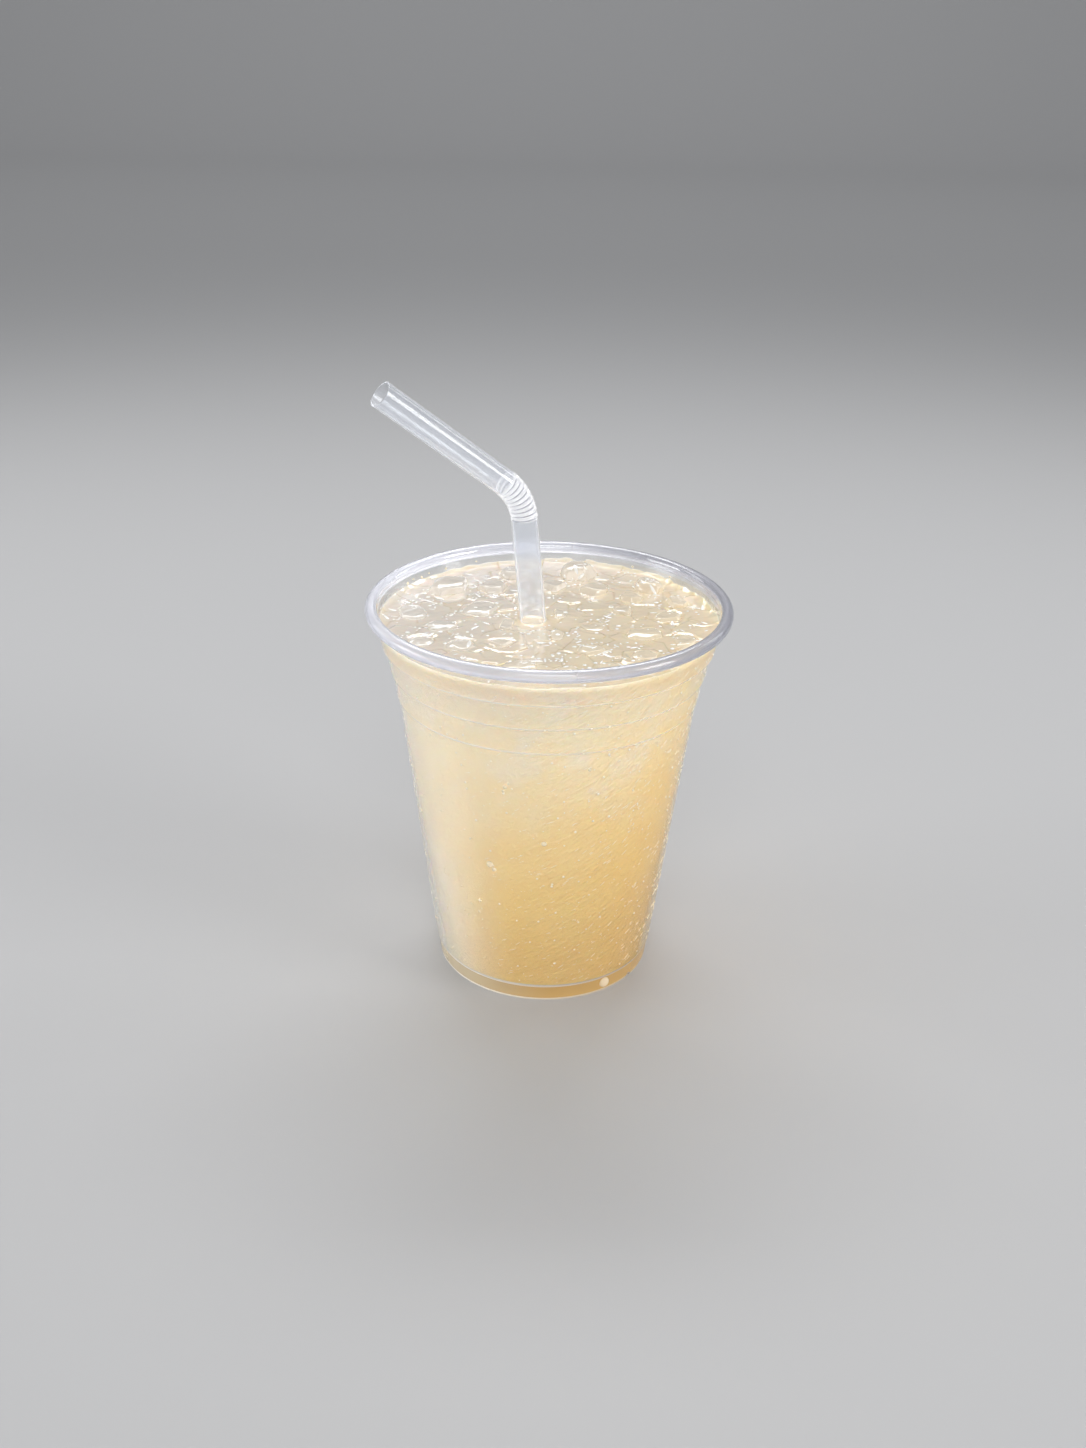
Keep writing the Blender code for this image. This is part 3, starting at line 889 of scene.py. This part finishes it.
def cut_vent(cup):
    """The small round notch low in the foot's skirt."""
    azimuth = math.radians(VENT_AZIMUTH_DEG)
    middle = FOOT_RADIUS - FOOT_FOLD / 2
    bpy.ops.mesh.primitive_cylinder_add(
        vertices=VENT_SIDES,
        radius=VENT_WIDTH / 2,
        depth=VENT_LENGTH,
        location=(middle * math.cos(azimuth), middle * math.sin(azimuth), VENT_CENTRE_HEIGHT),
        rotation=(0.0, math.pi / 2, azimuth),
    )
    cutter = bpy.context.object
    boolean = cup.modifiers.new("vent", "BOOLEAN")
    boolean.operation = "DIFFERENCE"
    boolean.solver = "EXACT"
    boolean.object = cutter
    settle(cup)
    bpy.data.objects.remove(cutter, do_unlink=True)


def build_cup():
    rings = [turned_ring(radius, height, CUP_SEGMENTS) for radius, height in cup_outline()]
    materials = (
        clear_plastic_material(),
        misted_plastic_material(),
        milky_plastic_material("rim_plastic", RIM_LIT_AND_SHADED_COLOURS, RIM_CLEARNESSES, RIM_ROUGHNESSES),
        foot_plastic_material(),
        milky_plastic_material("edge_highlight_plastic", EDGE_HIGHLIGHT_COLOURS, EDGE_HIGHLIGHT_CLEARNESSES, EDGE_ROUGHNESSES),
    )
    cup = add_object("cup_shell", loft("cup_shell", [rings]), *materials)
    cut_vent(cup)
    for face in cup.data.polygons:
        face.material_index = cup_material_index(face)
    finish_piece(cup, "clear_plastic", "cup")


def cup_material_index(face):
    """Which of the cup's materials a face has, in the order of build_cup."""
    clear, misted, rim, foot, edge = range(5)
    middle = face.center
    from_axis = middle.to_2d().length
    if middle.z > CURL_BOTTOM and from_axis > CURL_INNER_RADIUS:
        return rim
    if from_axis < FLOOR_EDGE_RADIUS or middle.z > MIST_TOP:
        return clear
    # The band painted golden as the glow of light through the juice
    if FOOT_GLOW_HEIGHTS[0] <= middle.z < FOOT_GLOW_HEIGHTS[1]:
        return foot
    # Milky painted highlight lines: the foot's edges, the ledges and the bands just above them
    if middle.z < OUTER_WALL[0][0]:
        return edge
    outward = face.normal.to_2d().dot(middle.to_2d()) > 0.0
    on_line = outward and any(top < middle.z < top + HIGHLIGHT_LINE_HEIGHT for top in LEDGE_TOPS)
    if on_line or face.normal.z < LEDGE_SLOPE:
        return edge
    return misted if outward else clear


def straw_path(distance):
    """The point on the straw's centre line at a distance from its end, and how it runs there."""
    bend_radius = BEND_LENGTH / BEND_ANGLE
    inward = (MOUTHPIECE - LONG_PART * MOUTHPIECE.dot(LONG_PART)).normalized()
    turned_by = min(max(distance - LENGTH_BELOW_BEND, 0.0) / bend_radius, BEND_ANGLE)
    point = STRAW_END + LONG_PART * min(distance, LENGTH_BELOW_BEND)
    point += LONG_PART * bend_radius * math.sin(turned_by)
    point += inward * bend_radius * (1 - math.cos(turned_by))
    point += MOUTHPIECE * max(distance - LENGTH_BELOW_BEND - BEND_LENGTH, 0.0)
    return point, LONG_PART * math.cos(turned_by) + inward * math.sin(turned_by)


def bend_radius_at(share):
    """The straw's outer radius along its bend, from 0 at the lower end to 1 at the upper one."""
    ridge_share = (share * BEND_RIDGES) % 1.0
    if ridge_share < VALLEY_AT_SHARE:
        dip = smoothstep(ridge_share / VALLEY_AT_SHARE)
    elif ridge_share < RIDGE_AT_SHARE:
        dip = 1.0 - smoothstep((ridge_share - VALLEY_AT_SHARE) / (RIDGE_AT_SHARE - VALLEY_AT_SHARE))
    else:
        dip = 0.0
    hump = smoothstep(1.0 - abs(ridge_share - RIDGE_AT_SHARE) / (1.0 - RIDGE_AT_SHARE))
    return STRAW_RADIUS - VALLEY_DEPTH * dip + RIDGE_HEIGHT * hump


def straw_sections():
    """The straw's rings as distance from its lower end and outer radius, going up."""
    steps = BEND_RIDGES * RIDGE_STEPS
    sections = [(0.0, STRAW_RADIUS), (LENGTH_BELOW_BEND - STRAW_RADIUS, STRAW_RADIUS)]
    for step in range(steps + 1):
        share = step / steps
        sections.append((LENGTH_BELOW_BEND + BEND_LENGTH * share, bend_radius_at(share)))
    bend_end = LENGTH_BELOW_BEND + BEND_LENGTH
    sections.append((bend_end + STRAW_RADIUS, STRAW_RADIUS))
    sections.append((bend_end + MOUTHPIECE_LENGTH, STRAW_RADIUS))
    return sections


def straw_ring(distance, radius):
    across = LONG_PART.cross(MOUTHPIECE).normalized()
    centre, along = straw_path(distance)
    ring = []
    for side in range(STRAW_SIDES):
        angle = math.tau * side / STRAW_SIDES
        out = across * math.cos(angle) + along.cross(across) * math.sin(angle)
        ring.append(centre + out * radius)
    return ring


def build_straw():
    sections = straw_sections()
    outside = [straw_ring(distance, radius) for distance, radius in sections]
    bore = [straw_ring(distance, radius - STRAW_WALL) for distance, radius in reversed(sections)]
    mesh = loft("straw_tube", [[*outside, *bore]], closed=True)
    lowest, highest = STRAW_RADIUS - VALLEY_DEPTH, STRAW_RADIUS + RIDGE_HEIGHT
    radii = [radius for _, radius in [*sections, *reversed(sections)]]
    ridge = [(radius - lowest) / (highest - lowest) for radius in radii for _ in range(STRAW_SIDES)]
    carry_values(mesh, "ridge", ridge)
    plain = straw_plastic_material("straw_plastic", STRAW_COLOUR, STRAW_CLEARNESS)
    bend = straw_plastic_material("straw_bend_plastic", BEND_COLOUR, BEND_CLEARNESS)
    straw = add_object("straw_tube", mesh, plain, bend)
    below, _ = straw_path(LENGTH_BELOW_BEND)
    above, along = straw_path(LENGTH_BELOW_BEND + BEND_LENGTH)
    for face in straw.data.polygons:
        in_bend = face.center.z > below.z and (face.center - above).dot(along) < 0.0
        face.material_index = int(in_bend)
    finish_piece(straw, "straw_plastic", "straw")


def vertex_places(piece):
    return np.array([vertex.co for vertex in piece.data.vertices])


def move_vertices(piece, places):
    for vertex, place in zip(piece.data.vertices, places):
        vertex.co = place


def smooth_copy(node, name, material):
    """A finer, rounder copy of a node's mesh that fills the same box."""
    mesh = bpy.data.meshes.new(name)
    copied = bmesh.new()
    copied.from_mesh(node.data)
    bmesh.ops.remove_doubles(copied, verts=copied.verts, dist=MERGE_DISTANCE)
    copied.to_mesh(mesh)
    copied.free()
    lump = add_object(name, mesh, material)
    subdivision = lump.modifiers.new("finer", "SUBSURF")
    subdivision.levels = ICE_SUBDIVISIONS
    subdivision.render_levels = ICE_SUBDIVISIONS
    settle(lump)
    places = vertex_places(lump)
    low, high = (np.array(corner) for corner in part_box(node.name))
    shares = (places - places.min(axis=0)) / (places.max(axis=0) - places.min(axis=0))
    move_vertices(lump, low + shares * (high - low))
    return lump


def chip(lump, generator):
    """Flattens the top and knocks off some of the sides, as on a broken piece of ice."""
    points = vertex_places(lump)
    centre = (points.min(axis=0) + points.max(axis=0)) / 2.0
    tilt = math.radians(generator.uniform(*ICE_TOP_TILTS_DEG))
    turn = generator.uniform(0.0, math.tau)
    top = direction(turn, math.pi / 2 - tilt)
    planes = [(top, ((points - centre) @ top).max() - generator.uniform(*ICE_TOP_CUTS))]
    for side in range(ICE_SIDE_CUTS):
        azimuth = turn + math.tau * (side + generator.uniform(*ICE_SIDE_SHIFTS)) / ICE_SIDE_CUTS
        facing = direction(azimuth, math.radians(generator.uniform(*ICE_SIDE_RISES_DEG)))
        reach = ((points - centre) @ facing).max() * generator.uniform(*ICE_SIDE_REACHES)
        planes.append((facing, reach))
    for facing, reach in planes:
        beyond = np.maximum((points - centre) @ facing - reach, 0.0)
        points -= beyond[:, None] * facing
    move_vertices(lump, points)


def direction(azimuth, rise):
    level = math.cos(rise)
    return np.array((level * math.cos(azimuth), level * math.sin(azimuth), math.sin(rise)))


def carve(lump, offset):
    """Melts shallow hollows into the lump, which never grows past its own surface."""
    normals = [vertex.normal.copy() for vertex in lump.data.vertices]
    for vertex, normal in zip(lump.data.vertices, normals):
        place = vertex.co + offset
        hollow = 0.5 + 0.5 * noise.noise(place / ICE_CARVING_LENGTH)
        ripple = 0.5 + 0.5 * noise.noise(place / ICE_RIPPLE_LENGTH)
        vertex.co -= normal * (ICE_CARVING * hollow + ICE_RIPPLE * ripple)


def build_ice():
    """The lumps of ice that break the surface."""
    generator = random.Random(ICE_SEED)
    material = ice_material()
    lumps = []
    for number in range(1, ICE_COUNT + 1):
        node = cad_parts[f"ice_{number:02d}"]
        lump = smooth_copy(node, f"ice_lump_{number:02d}", material)
        chip(lump, generator)
        carve(lump, UP * number * ICE_CARVING_STEP)
        finish_piece(lump, "ice", node.name)
        lumps.append(lump)
    return lumps


def search_tree(pieces):
    """A tree of all the pieces' faces, to find what lies under or near a point."""
    verts = []
    faces = []
    for piece in pieces:
        first = len(verts)
        verts += [vertex.co.copy() for vertex in piece.data.vertices]
        faces += [[first + index for index in face.vertices] for face in piece.data.polygons]
    return BVHTree.FromPolygons(verts, faces)


def top_under(tree, x, y):
    """The highest point and its normal at a place seen from above, or nothing."""
    point, normal, _, _ = tree.ray_cast(Vector((x, y, 2 * CUP_HEIGHT)), -UP)
    return point, normal


def plate_sides(generator, size):
    """The straight sides of a broken piece, each as its direction and its distance."""
    count = generator.randint(*PLATE_SIDES)
    turn = generator.uniform(0.0, math.tau)
    sides = []
    for side in range(count):
        angle = turn + math.tau * (side + generator.uniform(*PLATE_SIDE_SHIFTS)) / count
        distance = size * generator.uniform(*PLATE_SIDE_SHARES)
        sides.append((math.cos(angle), math.sin(angle), distance))
    return sides


def scatter_plates(ice):
    """Flat broken pieces of sunk ice wherever no lump breaks the surface."""
    generator = random.Random(PLATE_SEED)
    plates = []
    limit = wall_radius(DRINK_LEVEL, EVEN_WALL) - CUP_WALL
    for _ in range(PLATE_TRIES):
        x = generator.uniform(-limit, limit)
        y = generator.uniform(-limit, limit)
        size = generator.uniform(*PLATE_SIZES)
        low, high = PLATE_LIFTS
        lift = low + (high - low) * generator.random() ** PLATE_LIFT_POWER
        tilts = [generator.uniform(*PLATE_TILTS) for _ in range(2)]
        shoulder = generator.uniform(*PLATE_SHOULDERS)
        sides = plate_sides(generator, size)
        here = Vector((x, y, DRINK_LEVEL))
        crowded = any(math.hypot(x - plate.x, y - plate.y) < PLATE_SPACING for plate in plates)
        near_lump = ice.find_nearest(here)[3] < PLATE_CLEARANCE
        near_straw = (here - STRAW_ENTRY).length < STRAW_RADIUS + size
        over_wall = math.hypot(x, y) + size / 2 > limit
        if not (crowded or near_lump or near_straw or over_wall):
            plates.append(Plate(x, y, size, shoulder, lift, *tilts, sides))
    return plates


def plate_share(plate, x, y):
    """How far out places are on a plate: 0 at its middle and 1 at its edge."""
    return np.maximum.reduce([
        ((x - plate.x) * cosine + (y - plate.y) * sine) / distance
        for cosine, sine, distance in plate.sides
    ])


def plate_relief(plates, x, y):
    """How far the plates lift the surface at arrays of places, where they are and their borders."""
    lift = np.zeros_like(x)
    cover = np.zeros_like(x)
    border_and_bore_shade = np.zeros_like(x)
    for plate in plates:
        beyond = (plate_share(plate, x, y) - 1.0) * plate.size
        inside = smoothstep(0.5 - 0.5 * beyond / plate.shoulder)
        tilted = plate.lift + plate.tilt_x * (x - plate.x) + plate.tilt_y * (y - plate.y)
        raised = inside * np.maximum(tilted, 0.0)
        border_and_bore_shade = np.where(raised > lift, 0.0, border_and_bore_shade)
        border_and_bore_shade = np.maximum(border_and_bore_shade, np.exp(-((beyond / BORDER_WIDTH) ** 2)) * (tilted > lift))
        lift = np.maximum(lift, raised)
        cover = np.maximum(cover, inside)
    return lift, cover, border_and_bore_shade


def wall_rise(azimuth):
    """How far the juice climbs the wall: hardly at the front, unevenly at the back."""
    backward = 0.5 + 0.5 * math.sin(azimuth)
    out = level_direction(azimuth)
    uneven = 0.5 + 0.5 * noise.noise(out * COARSE_RAGS)
    ragged = 0.5 * noise.noise(out * FINE_RAGS)
    return FRONT_RISE + (BACK_RISE - FRONT_RISE) * backward * (LEAST_RAG + uneven + ragged)


def liquid_surface(ice, plates, x, y):
    """Heights of the juice's top at arrays of places, where ice lies under it, the plates' borders and
    the painted shade inside the straw.
    """
    lift, cover, border_and_bore_shade = plate_relief(plates, x, y)
    inner_radius = wall_radius(DRINK_LEVEL, EVEN_WALL) - CUP_WALL
    heights = np.empty_like(x)
    for i in range(len(x)):
        here = Vector((x[i], y[i], DRINK_LEVEL))
        swell = SWELL_HEIGHT * noise.noise(here / SWELL_LENGTH)
        ripple = RIPPLE_HEIGHT * noise.noise(here / RIPPLE_LENGTH)
        wall_gap = max(inner_radius - here.to_2d().length, 0.0)
        straw_gap = abs((here - STRAW_ENTRY).length - STRAW_RADIUS)
        # Painted shade: the juice inside the straw's bore is darkened in the same way as the borders
        if (here - STRAW_ENTRY).length < STRAW_RADIUS:
            border_and_bore_shade[i] = 1.0
        ice_gap = ice.find_nearest(here)[3]
        lift[i] *= smoothstep(ice_gap / (2.0 * ICE_RISE_REACH))
        rise = wall_rise(math.atan2(y[i], x[i])) * math.exp(-wall_gap / WALL_RISE_REACH)
        rise += ICE_RISE * math.exp(-ice_gap / ICE_RISE_REACH)
        rise += STRAW_RISE * math.exp(-straw_gap / ICE_RISE_REACH)
        surface = DRINK_LEVEL + rise + swell + ripple + lift[i]
        top, _ = top_under(ice, x[i], y[i])
        if top is not None and top.z > surface:
            bed = smoothstep((top.z - surface) / BED_SHOULDER)
            surface -= BED_DEPTH * bed
            cover[i] = max(cover[i], bed)
        heights[i] = surface
    return heights, cover, border_and_bore_shade


def build_juice(ice, plates):
    """One closed body that reaches just into the cup's wall and floor."""
    inset = CUP_WALL - JUICE_OVERLAP
    edge = wall_radius(DRINK_LEVEL, EVEN_WALL) - inset
    places = [(edge, SURFACE_STEPS)]
    radius = edge - SURFACE_SPACING
    while radius > SURFACE_SPACING:
        count = 2 ** round(math.log2(math.tau * radius / SURFACE_SPACING))
        places.append((radius, min(count, SURFACE_STEPS)))
        radius -= SURFACE_SPACING
    flat = [place for radius, count in places for place in turned_ring(radius, 0.0, count)]
    x = np.array([place[0] for place in flat])
    y = np.array([place[1] for place in flat])
    heights, cover, border_and_bore_shade = liquid_surface(ice, plates, x, y)
    top = list(zip(x, y, heights))
    starts = np.cumsum([0] + [count for _, count in places])
    surface = [top[start:end] for start, end in zip(starts, starts[1:])]
    floor = floor_outline(FLOOR_TOP - JUICE_OVERLAP)
    wall_top = DRINK_LEVEL - SURFACE_SPACING
    wall = wall_outline(EVEN_WALL, inset, FLOOR_TOP + CUP_WALL, wall_top, EVEN_CORNER_REACH)
    outline = [*floor[1:], JUICE_FOOT, *wall]
    sides = [turned_ring(radius, height, WALL_STEPS) for radius, height in outline]
    mesh = loft("juice_body", [[*sides, *surface]])
    below_top = np.zeros(len(mesh.vertices) - len(top))
    carry_values(mesh, "near_ice", np.concatenate([below_top, cover]))
    carry_values(mesh, "border_and_bore_shade", np.concatenate([below_top, border_and_bore_shade]))
    juice = add_object("juice_body", mesh, juice_side_material(), juice_top_material())
    for face in juice.data.polygons:
        upward = face.normal.z > LEAST_TOP_SLOPE
        face.material_index = int(upward and face.center.z > DRINK_LEVEL - 2 * BED_DEPTH)
    finish_piece(juice, "juice", "drink")
    return juice


def dome_rings(place, normal, radius, height, sides, profile=SMALL_DOME, along=None):
    """Rings of a drop that sits on a surface, sunk a little way into it.

    The drop is round, or as long as the vector that says how it lies.
    """
    across = normal.orthogonal().normalized() if along is None else along
    beyond = normal.cross(across).normalized()
    rings = []
    for lift, reach in profile:
        ring = []
        for side in range(sides):
            angle = math.tau * side / sides
            out = across * math.cos(angle) + beyond * math.sin(angle)
            ring.append(place + normal * height * lift + out * radius * reach)
        rings.append(ring)
    return rings


def random_spot(generator, limit):
    """A place anywhere on a disc."""
    reach = limit * math.sqrt(generator.random())
    azimuth = generator.uniform(0.0, math.tau)
    return reach * math.cos(azimuth), reach * math.sin(azimuth)


def bubble_places(generator):
    """Clusters strung out along short lines, and bubbles on their own, as x, y and radius."""
    limit = wall_radius(DRINK_LEVEL) - 2 * CUP_WALL
    places = []
    for _ in range(BUBBLE_CLUSTERS):
        middle_x, middle_y = random_spot(generator, limit)
        turn = generator.uniform(0.0, math.pi)
        for _ in range(generator.randint(*CLUSTER_SIZES)):
            along = generator.gauss(0.0, CLUSTER_REACH)
            across = generator.gauss(0.0, CLUSTER_WIDTH)
            x = middle_x + along * math.cos(turn) - across * math.sin(turn)
            y = middle_y + along * math.sin(turn) + across * math.cos(turn)
            places.append((x, y))
    places += [random_spot(generator, limit) for _ in range(LONE_BUBBLES)]
    small, large = BUBBLE_RADII
    kept = []
    for x, y in places:
        radius = small + (large - small) * generator.random() ** BUBBLE_RADIUS_POWER
        reaches = [(math.hypot(x - other[0], y - other[1]), other[2]) for other in kept]
        apart = all(distance > radius + other + BUBBLE_GAP for distance, other in reaches)
        if apart and math.hypot(x, y) < limit:
            kept.append((x, y, radius))
    return kept


def add_small_pieces(name, shapes, material, slot, closed=False):
    """Joins many small shapes of one kind into a piece."""
    finish_piece(add_object(name, loft(name, shapes, closed), material), slot)


def build_bubbles(surface):
    """Bubbles on the drink's top, some of them run together into strokes."""
    generator = random.Random(BUBBLE_SEED)
    domes = []
    for x, y, radius in bubble_places(generator):
        turn = generator.uniform(0.0, math.tau)
        is_stroke = generator.random() < STROKE_CHANCE
        stretch = generator.uniform(*SURFACE_STRETCHES) if is_stroke else 1.0
        point, normal = top_under(surface, x, y)
        if point is None or (point - STRAW_ENTRY).to_2d().length < STRAW_RADIUS + radius:
            continue
        along = None
        if is_stroke:
            radius *= STROKE_THINNESS
            along = normal.cross(level_direction(turn)).normalized() * stretch
        height = radius * BUBBLE_FLATNESS
        domes.append(dome_rings(point, normal, radius, height, BUBBLE_SIDES, along=along))
    # The bubbles and ring bubbles are near white as painted glints, with their own gloss on top
    skin = speck_material("bubble_skin", BUBBLE_GLINT_COLOUR, BUBBLE_IOR)
    add_small_pieces("bubbles", domes, skin, "juice")
    rings = [ring_bubble(top_under(surface, x, y)[0]) for x, y in RING_BUBBLES]
    add_small_pieces("ring_bubbles", rings, skin, "juice", closed=True)


def ring_bubble(centre):
    """Rings of points round a small ring that lies on the surface."""
    rings = []
    for step in range(RING_BUBBLE_STEPS):
        out = level_direction(math.tau * step / RING_BUBBLE_STEPS)
        middle = centre + out * RING_BUBBLE_RADIUS
        ring = []
        for side in range(BUBBLE_SIDES):
            turn = math.tau * side / BUBBLE_SIDES
            ring.append(middle + (out * math.cos(turn) + UP * math.sin(turn)) * RING_BUBBLE_THICKNESS)
        rings.append(ring)
    return rings


def build_slivers(surface):
    """Slivers of fruit that float on the top."""
    domes = []
    for x, y, length, width, turn_deg in SLIVERS:
        point, normal = top_under(surface, x, y)
        across = normal.cross(level_direction(math.radians(turn_deg + 90.0))).normalized()
        along = across * length / width
        domes.append(dome_rings(point, normal, width, width / 2, SLIVER_SIDES, LARGE_DOME, along))
    add_small_pieces("slivers", domes, speck_material("fruit", FRUIT_COLOUR, FRUIT_IOR), "juice")


def wall_place(azimuth, height):
    """A point on the outside of the cup and the way it faces."""
    if height < FOOT_TOP:
        radius = float(np.interp(height, (0.0, FOOT_TOP), (FOOT_RADIUS, FOOT_TOP_RADIUS)))
        slope = (FOOT_TOP_RADIUS - FOOT_RADIUS) / FOOT_TOP
    else:
        radius = wall_radius(height)
        wider_by = wall_radius(height + SLOPE_REACH) - wall_radius(height - SLOPE_REACH)
        slope = wider_by / (2.0 * SLOPE_REACH)
    out = level_direction(azimuth)
    return out * radius + UP * height, (out - UP * slope).normalized()


def stroke_rings(generator):
    """Rings of a short stroke of water on the wall that rises to the right."""
    azimuth_deg = generator.gauss(STROKE_MIDDLE_AZIMUTH_DEG, STROKE_AZIMUTH_SPREAD_DEG)
    azimuth = math.radians(azimuth_deg)
    place, normal = wall_place(azimuth, generator.uniform(*DROPLET_HEIGHTS))
    level = level_direction(azimuth + math.pi / 2)
    rise = math.radians(generator.uniform(*STROKE_RISES_DEG))
    lie = level * math.cos(rise) + normal.cross(level) * math.sin(rise)
    radius = generator.uniform(*STROKE_RADII)
    along = lie * generator.uniform(*STROKE_STRETCHES)
    return dome_rings(place, normal, radius, radius, DROPLET_SIDES, along=along)


def build_condensation():
    """Fine droplets and strokes on the outside of the wall."""
    generator = random.Random(DROPLET_SEED)
    small, large = DROPLET_RADII
    domes = [stroke_rings(generator) for _ in range(STROKE_COUNT)]
    for _ in range(DROPLET_COUNT):
        azimuth = generator.uniform(0.0, math.tau)
        place, normal = wall_place(azimuth, generator.uniform(*DROPLET_HEIGHTS))
        radius = small + (large - small) * generator.random() ** DROPLET_RADIUS_POWER
        domes.append(dome_rings(place, normal, radius, radius * DROPLET_FLATNESS, DROPLET_SIDES))
    add_small_pieces("condensation", domes, droplet_material(), "clear_plastic")


def build_large_drops():
    """The few drops that are large enough to tell their form, outside and inside the wall."""
    domes = []
    for azimuth, height, radius in LARGE_DROPS:
        place, normal = wall_place(math.radians(azimuth), height)
        lift = radius * LARGE_FLATNESS
        domes.append(dome_rings(place, normal, radius, lift, LARGE_DROP_SIDES, LARGE_DOME))
    for azimuth, height, radius in INNER_DROPS:
        out = level_direction(math.radians(azimuth))
        place = out * (wall_radius(height, EVEN_WALL) - CUP_WALL) + UP * height
        lift = radius * INNER_FLATNESS
        domes.append(dome_rings(place, -out, radius, lift, INNER_DROP_SIDES, LARGE_DOME))
    add_small_pieces("large_drops", domes, water_material(), "clear_plastic")


def build_floor():
    """A pale sweep: a floor that curves up into a wall far behind."""
    line = [(FLOOR_FRONT, 0.0), (FLOOR_BACK, 0.0)]
    line += arc((FLOOR_BACK, FLOOR_BEND), FLOOR_BEND, -90.0, 0.0, FLOOR_BEND_STEPS)
    line.append((FLOOR_BACK + FLOOR_BEND, BACKDROP_HEIGHT))
    verts = [(side * FLOOR_HALF_WIDTH, y, z) for y, z in line for side in (-1, 1)]
    faces = [(2 * i, 2 * i + 1, 2 * i + 3, 2 * i + 2) for i in range(len(line) - 1)]
    mesh = bpy.data.meshes.new("floor")
    mesh.from_pydata(verts, [], faces)
    mesh.shade_smooth()
    material, place = new_material("floor")
    looks = {"Base Color": rgba(FLOOR_COLOUR), "Roughness": FLOOR_ROUGHNESS}
    show(add_node(place.id_data, "BsdfPrincipled", looks))
    add_object("floor", mesh, material)


def build_light():
    world = bpy.data.worlds.new("studio")
    bpy.context.scene.world = world
    world.use_nodes = True
    background = world.node_tree.nodes["Background"]
    background.inputs["Color"].default_value = rgba(SKY_COLOUR)
    background.inputs["Strength"].default_value = SKY_STRENGTH
    for name, place, target, width, height, power, spread_deg in LIGHTS:
        data = bpy.data.lights.new(name, "AREA")
        data.shape = "RECTANGLE"
        data.size = width
        data.size_y = height
        data.energy = power
        data.spread = math.radians(spread_deg)
        light = add_object(name, data)
        light.location = place
        aim = Vector(target) - Vector(place)
        light.rotation_euler = aim.to_track_quat("-Z", "Y").to_euler()
    bpy.context.scene.view_settings.view_transform = "Standard"


def build_camera():
    data = bpy.data.cameras.new("camera")
    data.lens = CAMERA_LENS_MM
    data.clip_start = CAMERA_NEAREST
    camera = add_object("camera", data)
    elevation = math.radians(CAMERA_ELEVATION_DEG)
    back = Vector((0.0, -math.cos(elevation), math.sin(elevation)))
    place = Matrix.Translation(CAMERA_TARGET + back * CAMERA_DISTANCE)
    tilt = Matrix.Rotation(math.pi / 2 - elevation, 4, "X")
    roll = Matrix.Rotation(math.radians(CAMERA_ROLL_DEG), 4, "Z")
    camera.matrix_world = place @ tilt @ roll
    bpy.context.scene.camera = camera


build_camera()
build_floor()
build_light()
build_cup()
build_straw()
lumps = build_ice()
ice = search_tree(lumps)
plates = scatter_plates(ice)
juice = build_juice(ice, plates)
surface = search_tree([juice, *lumps])
build_bubbles(surface)
build_slivers(surface)
build_condensation()
build_large_drops()
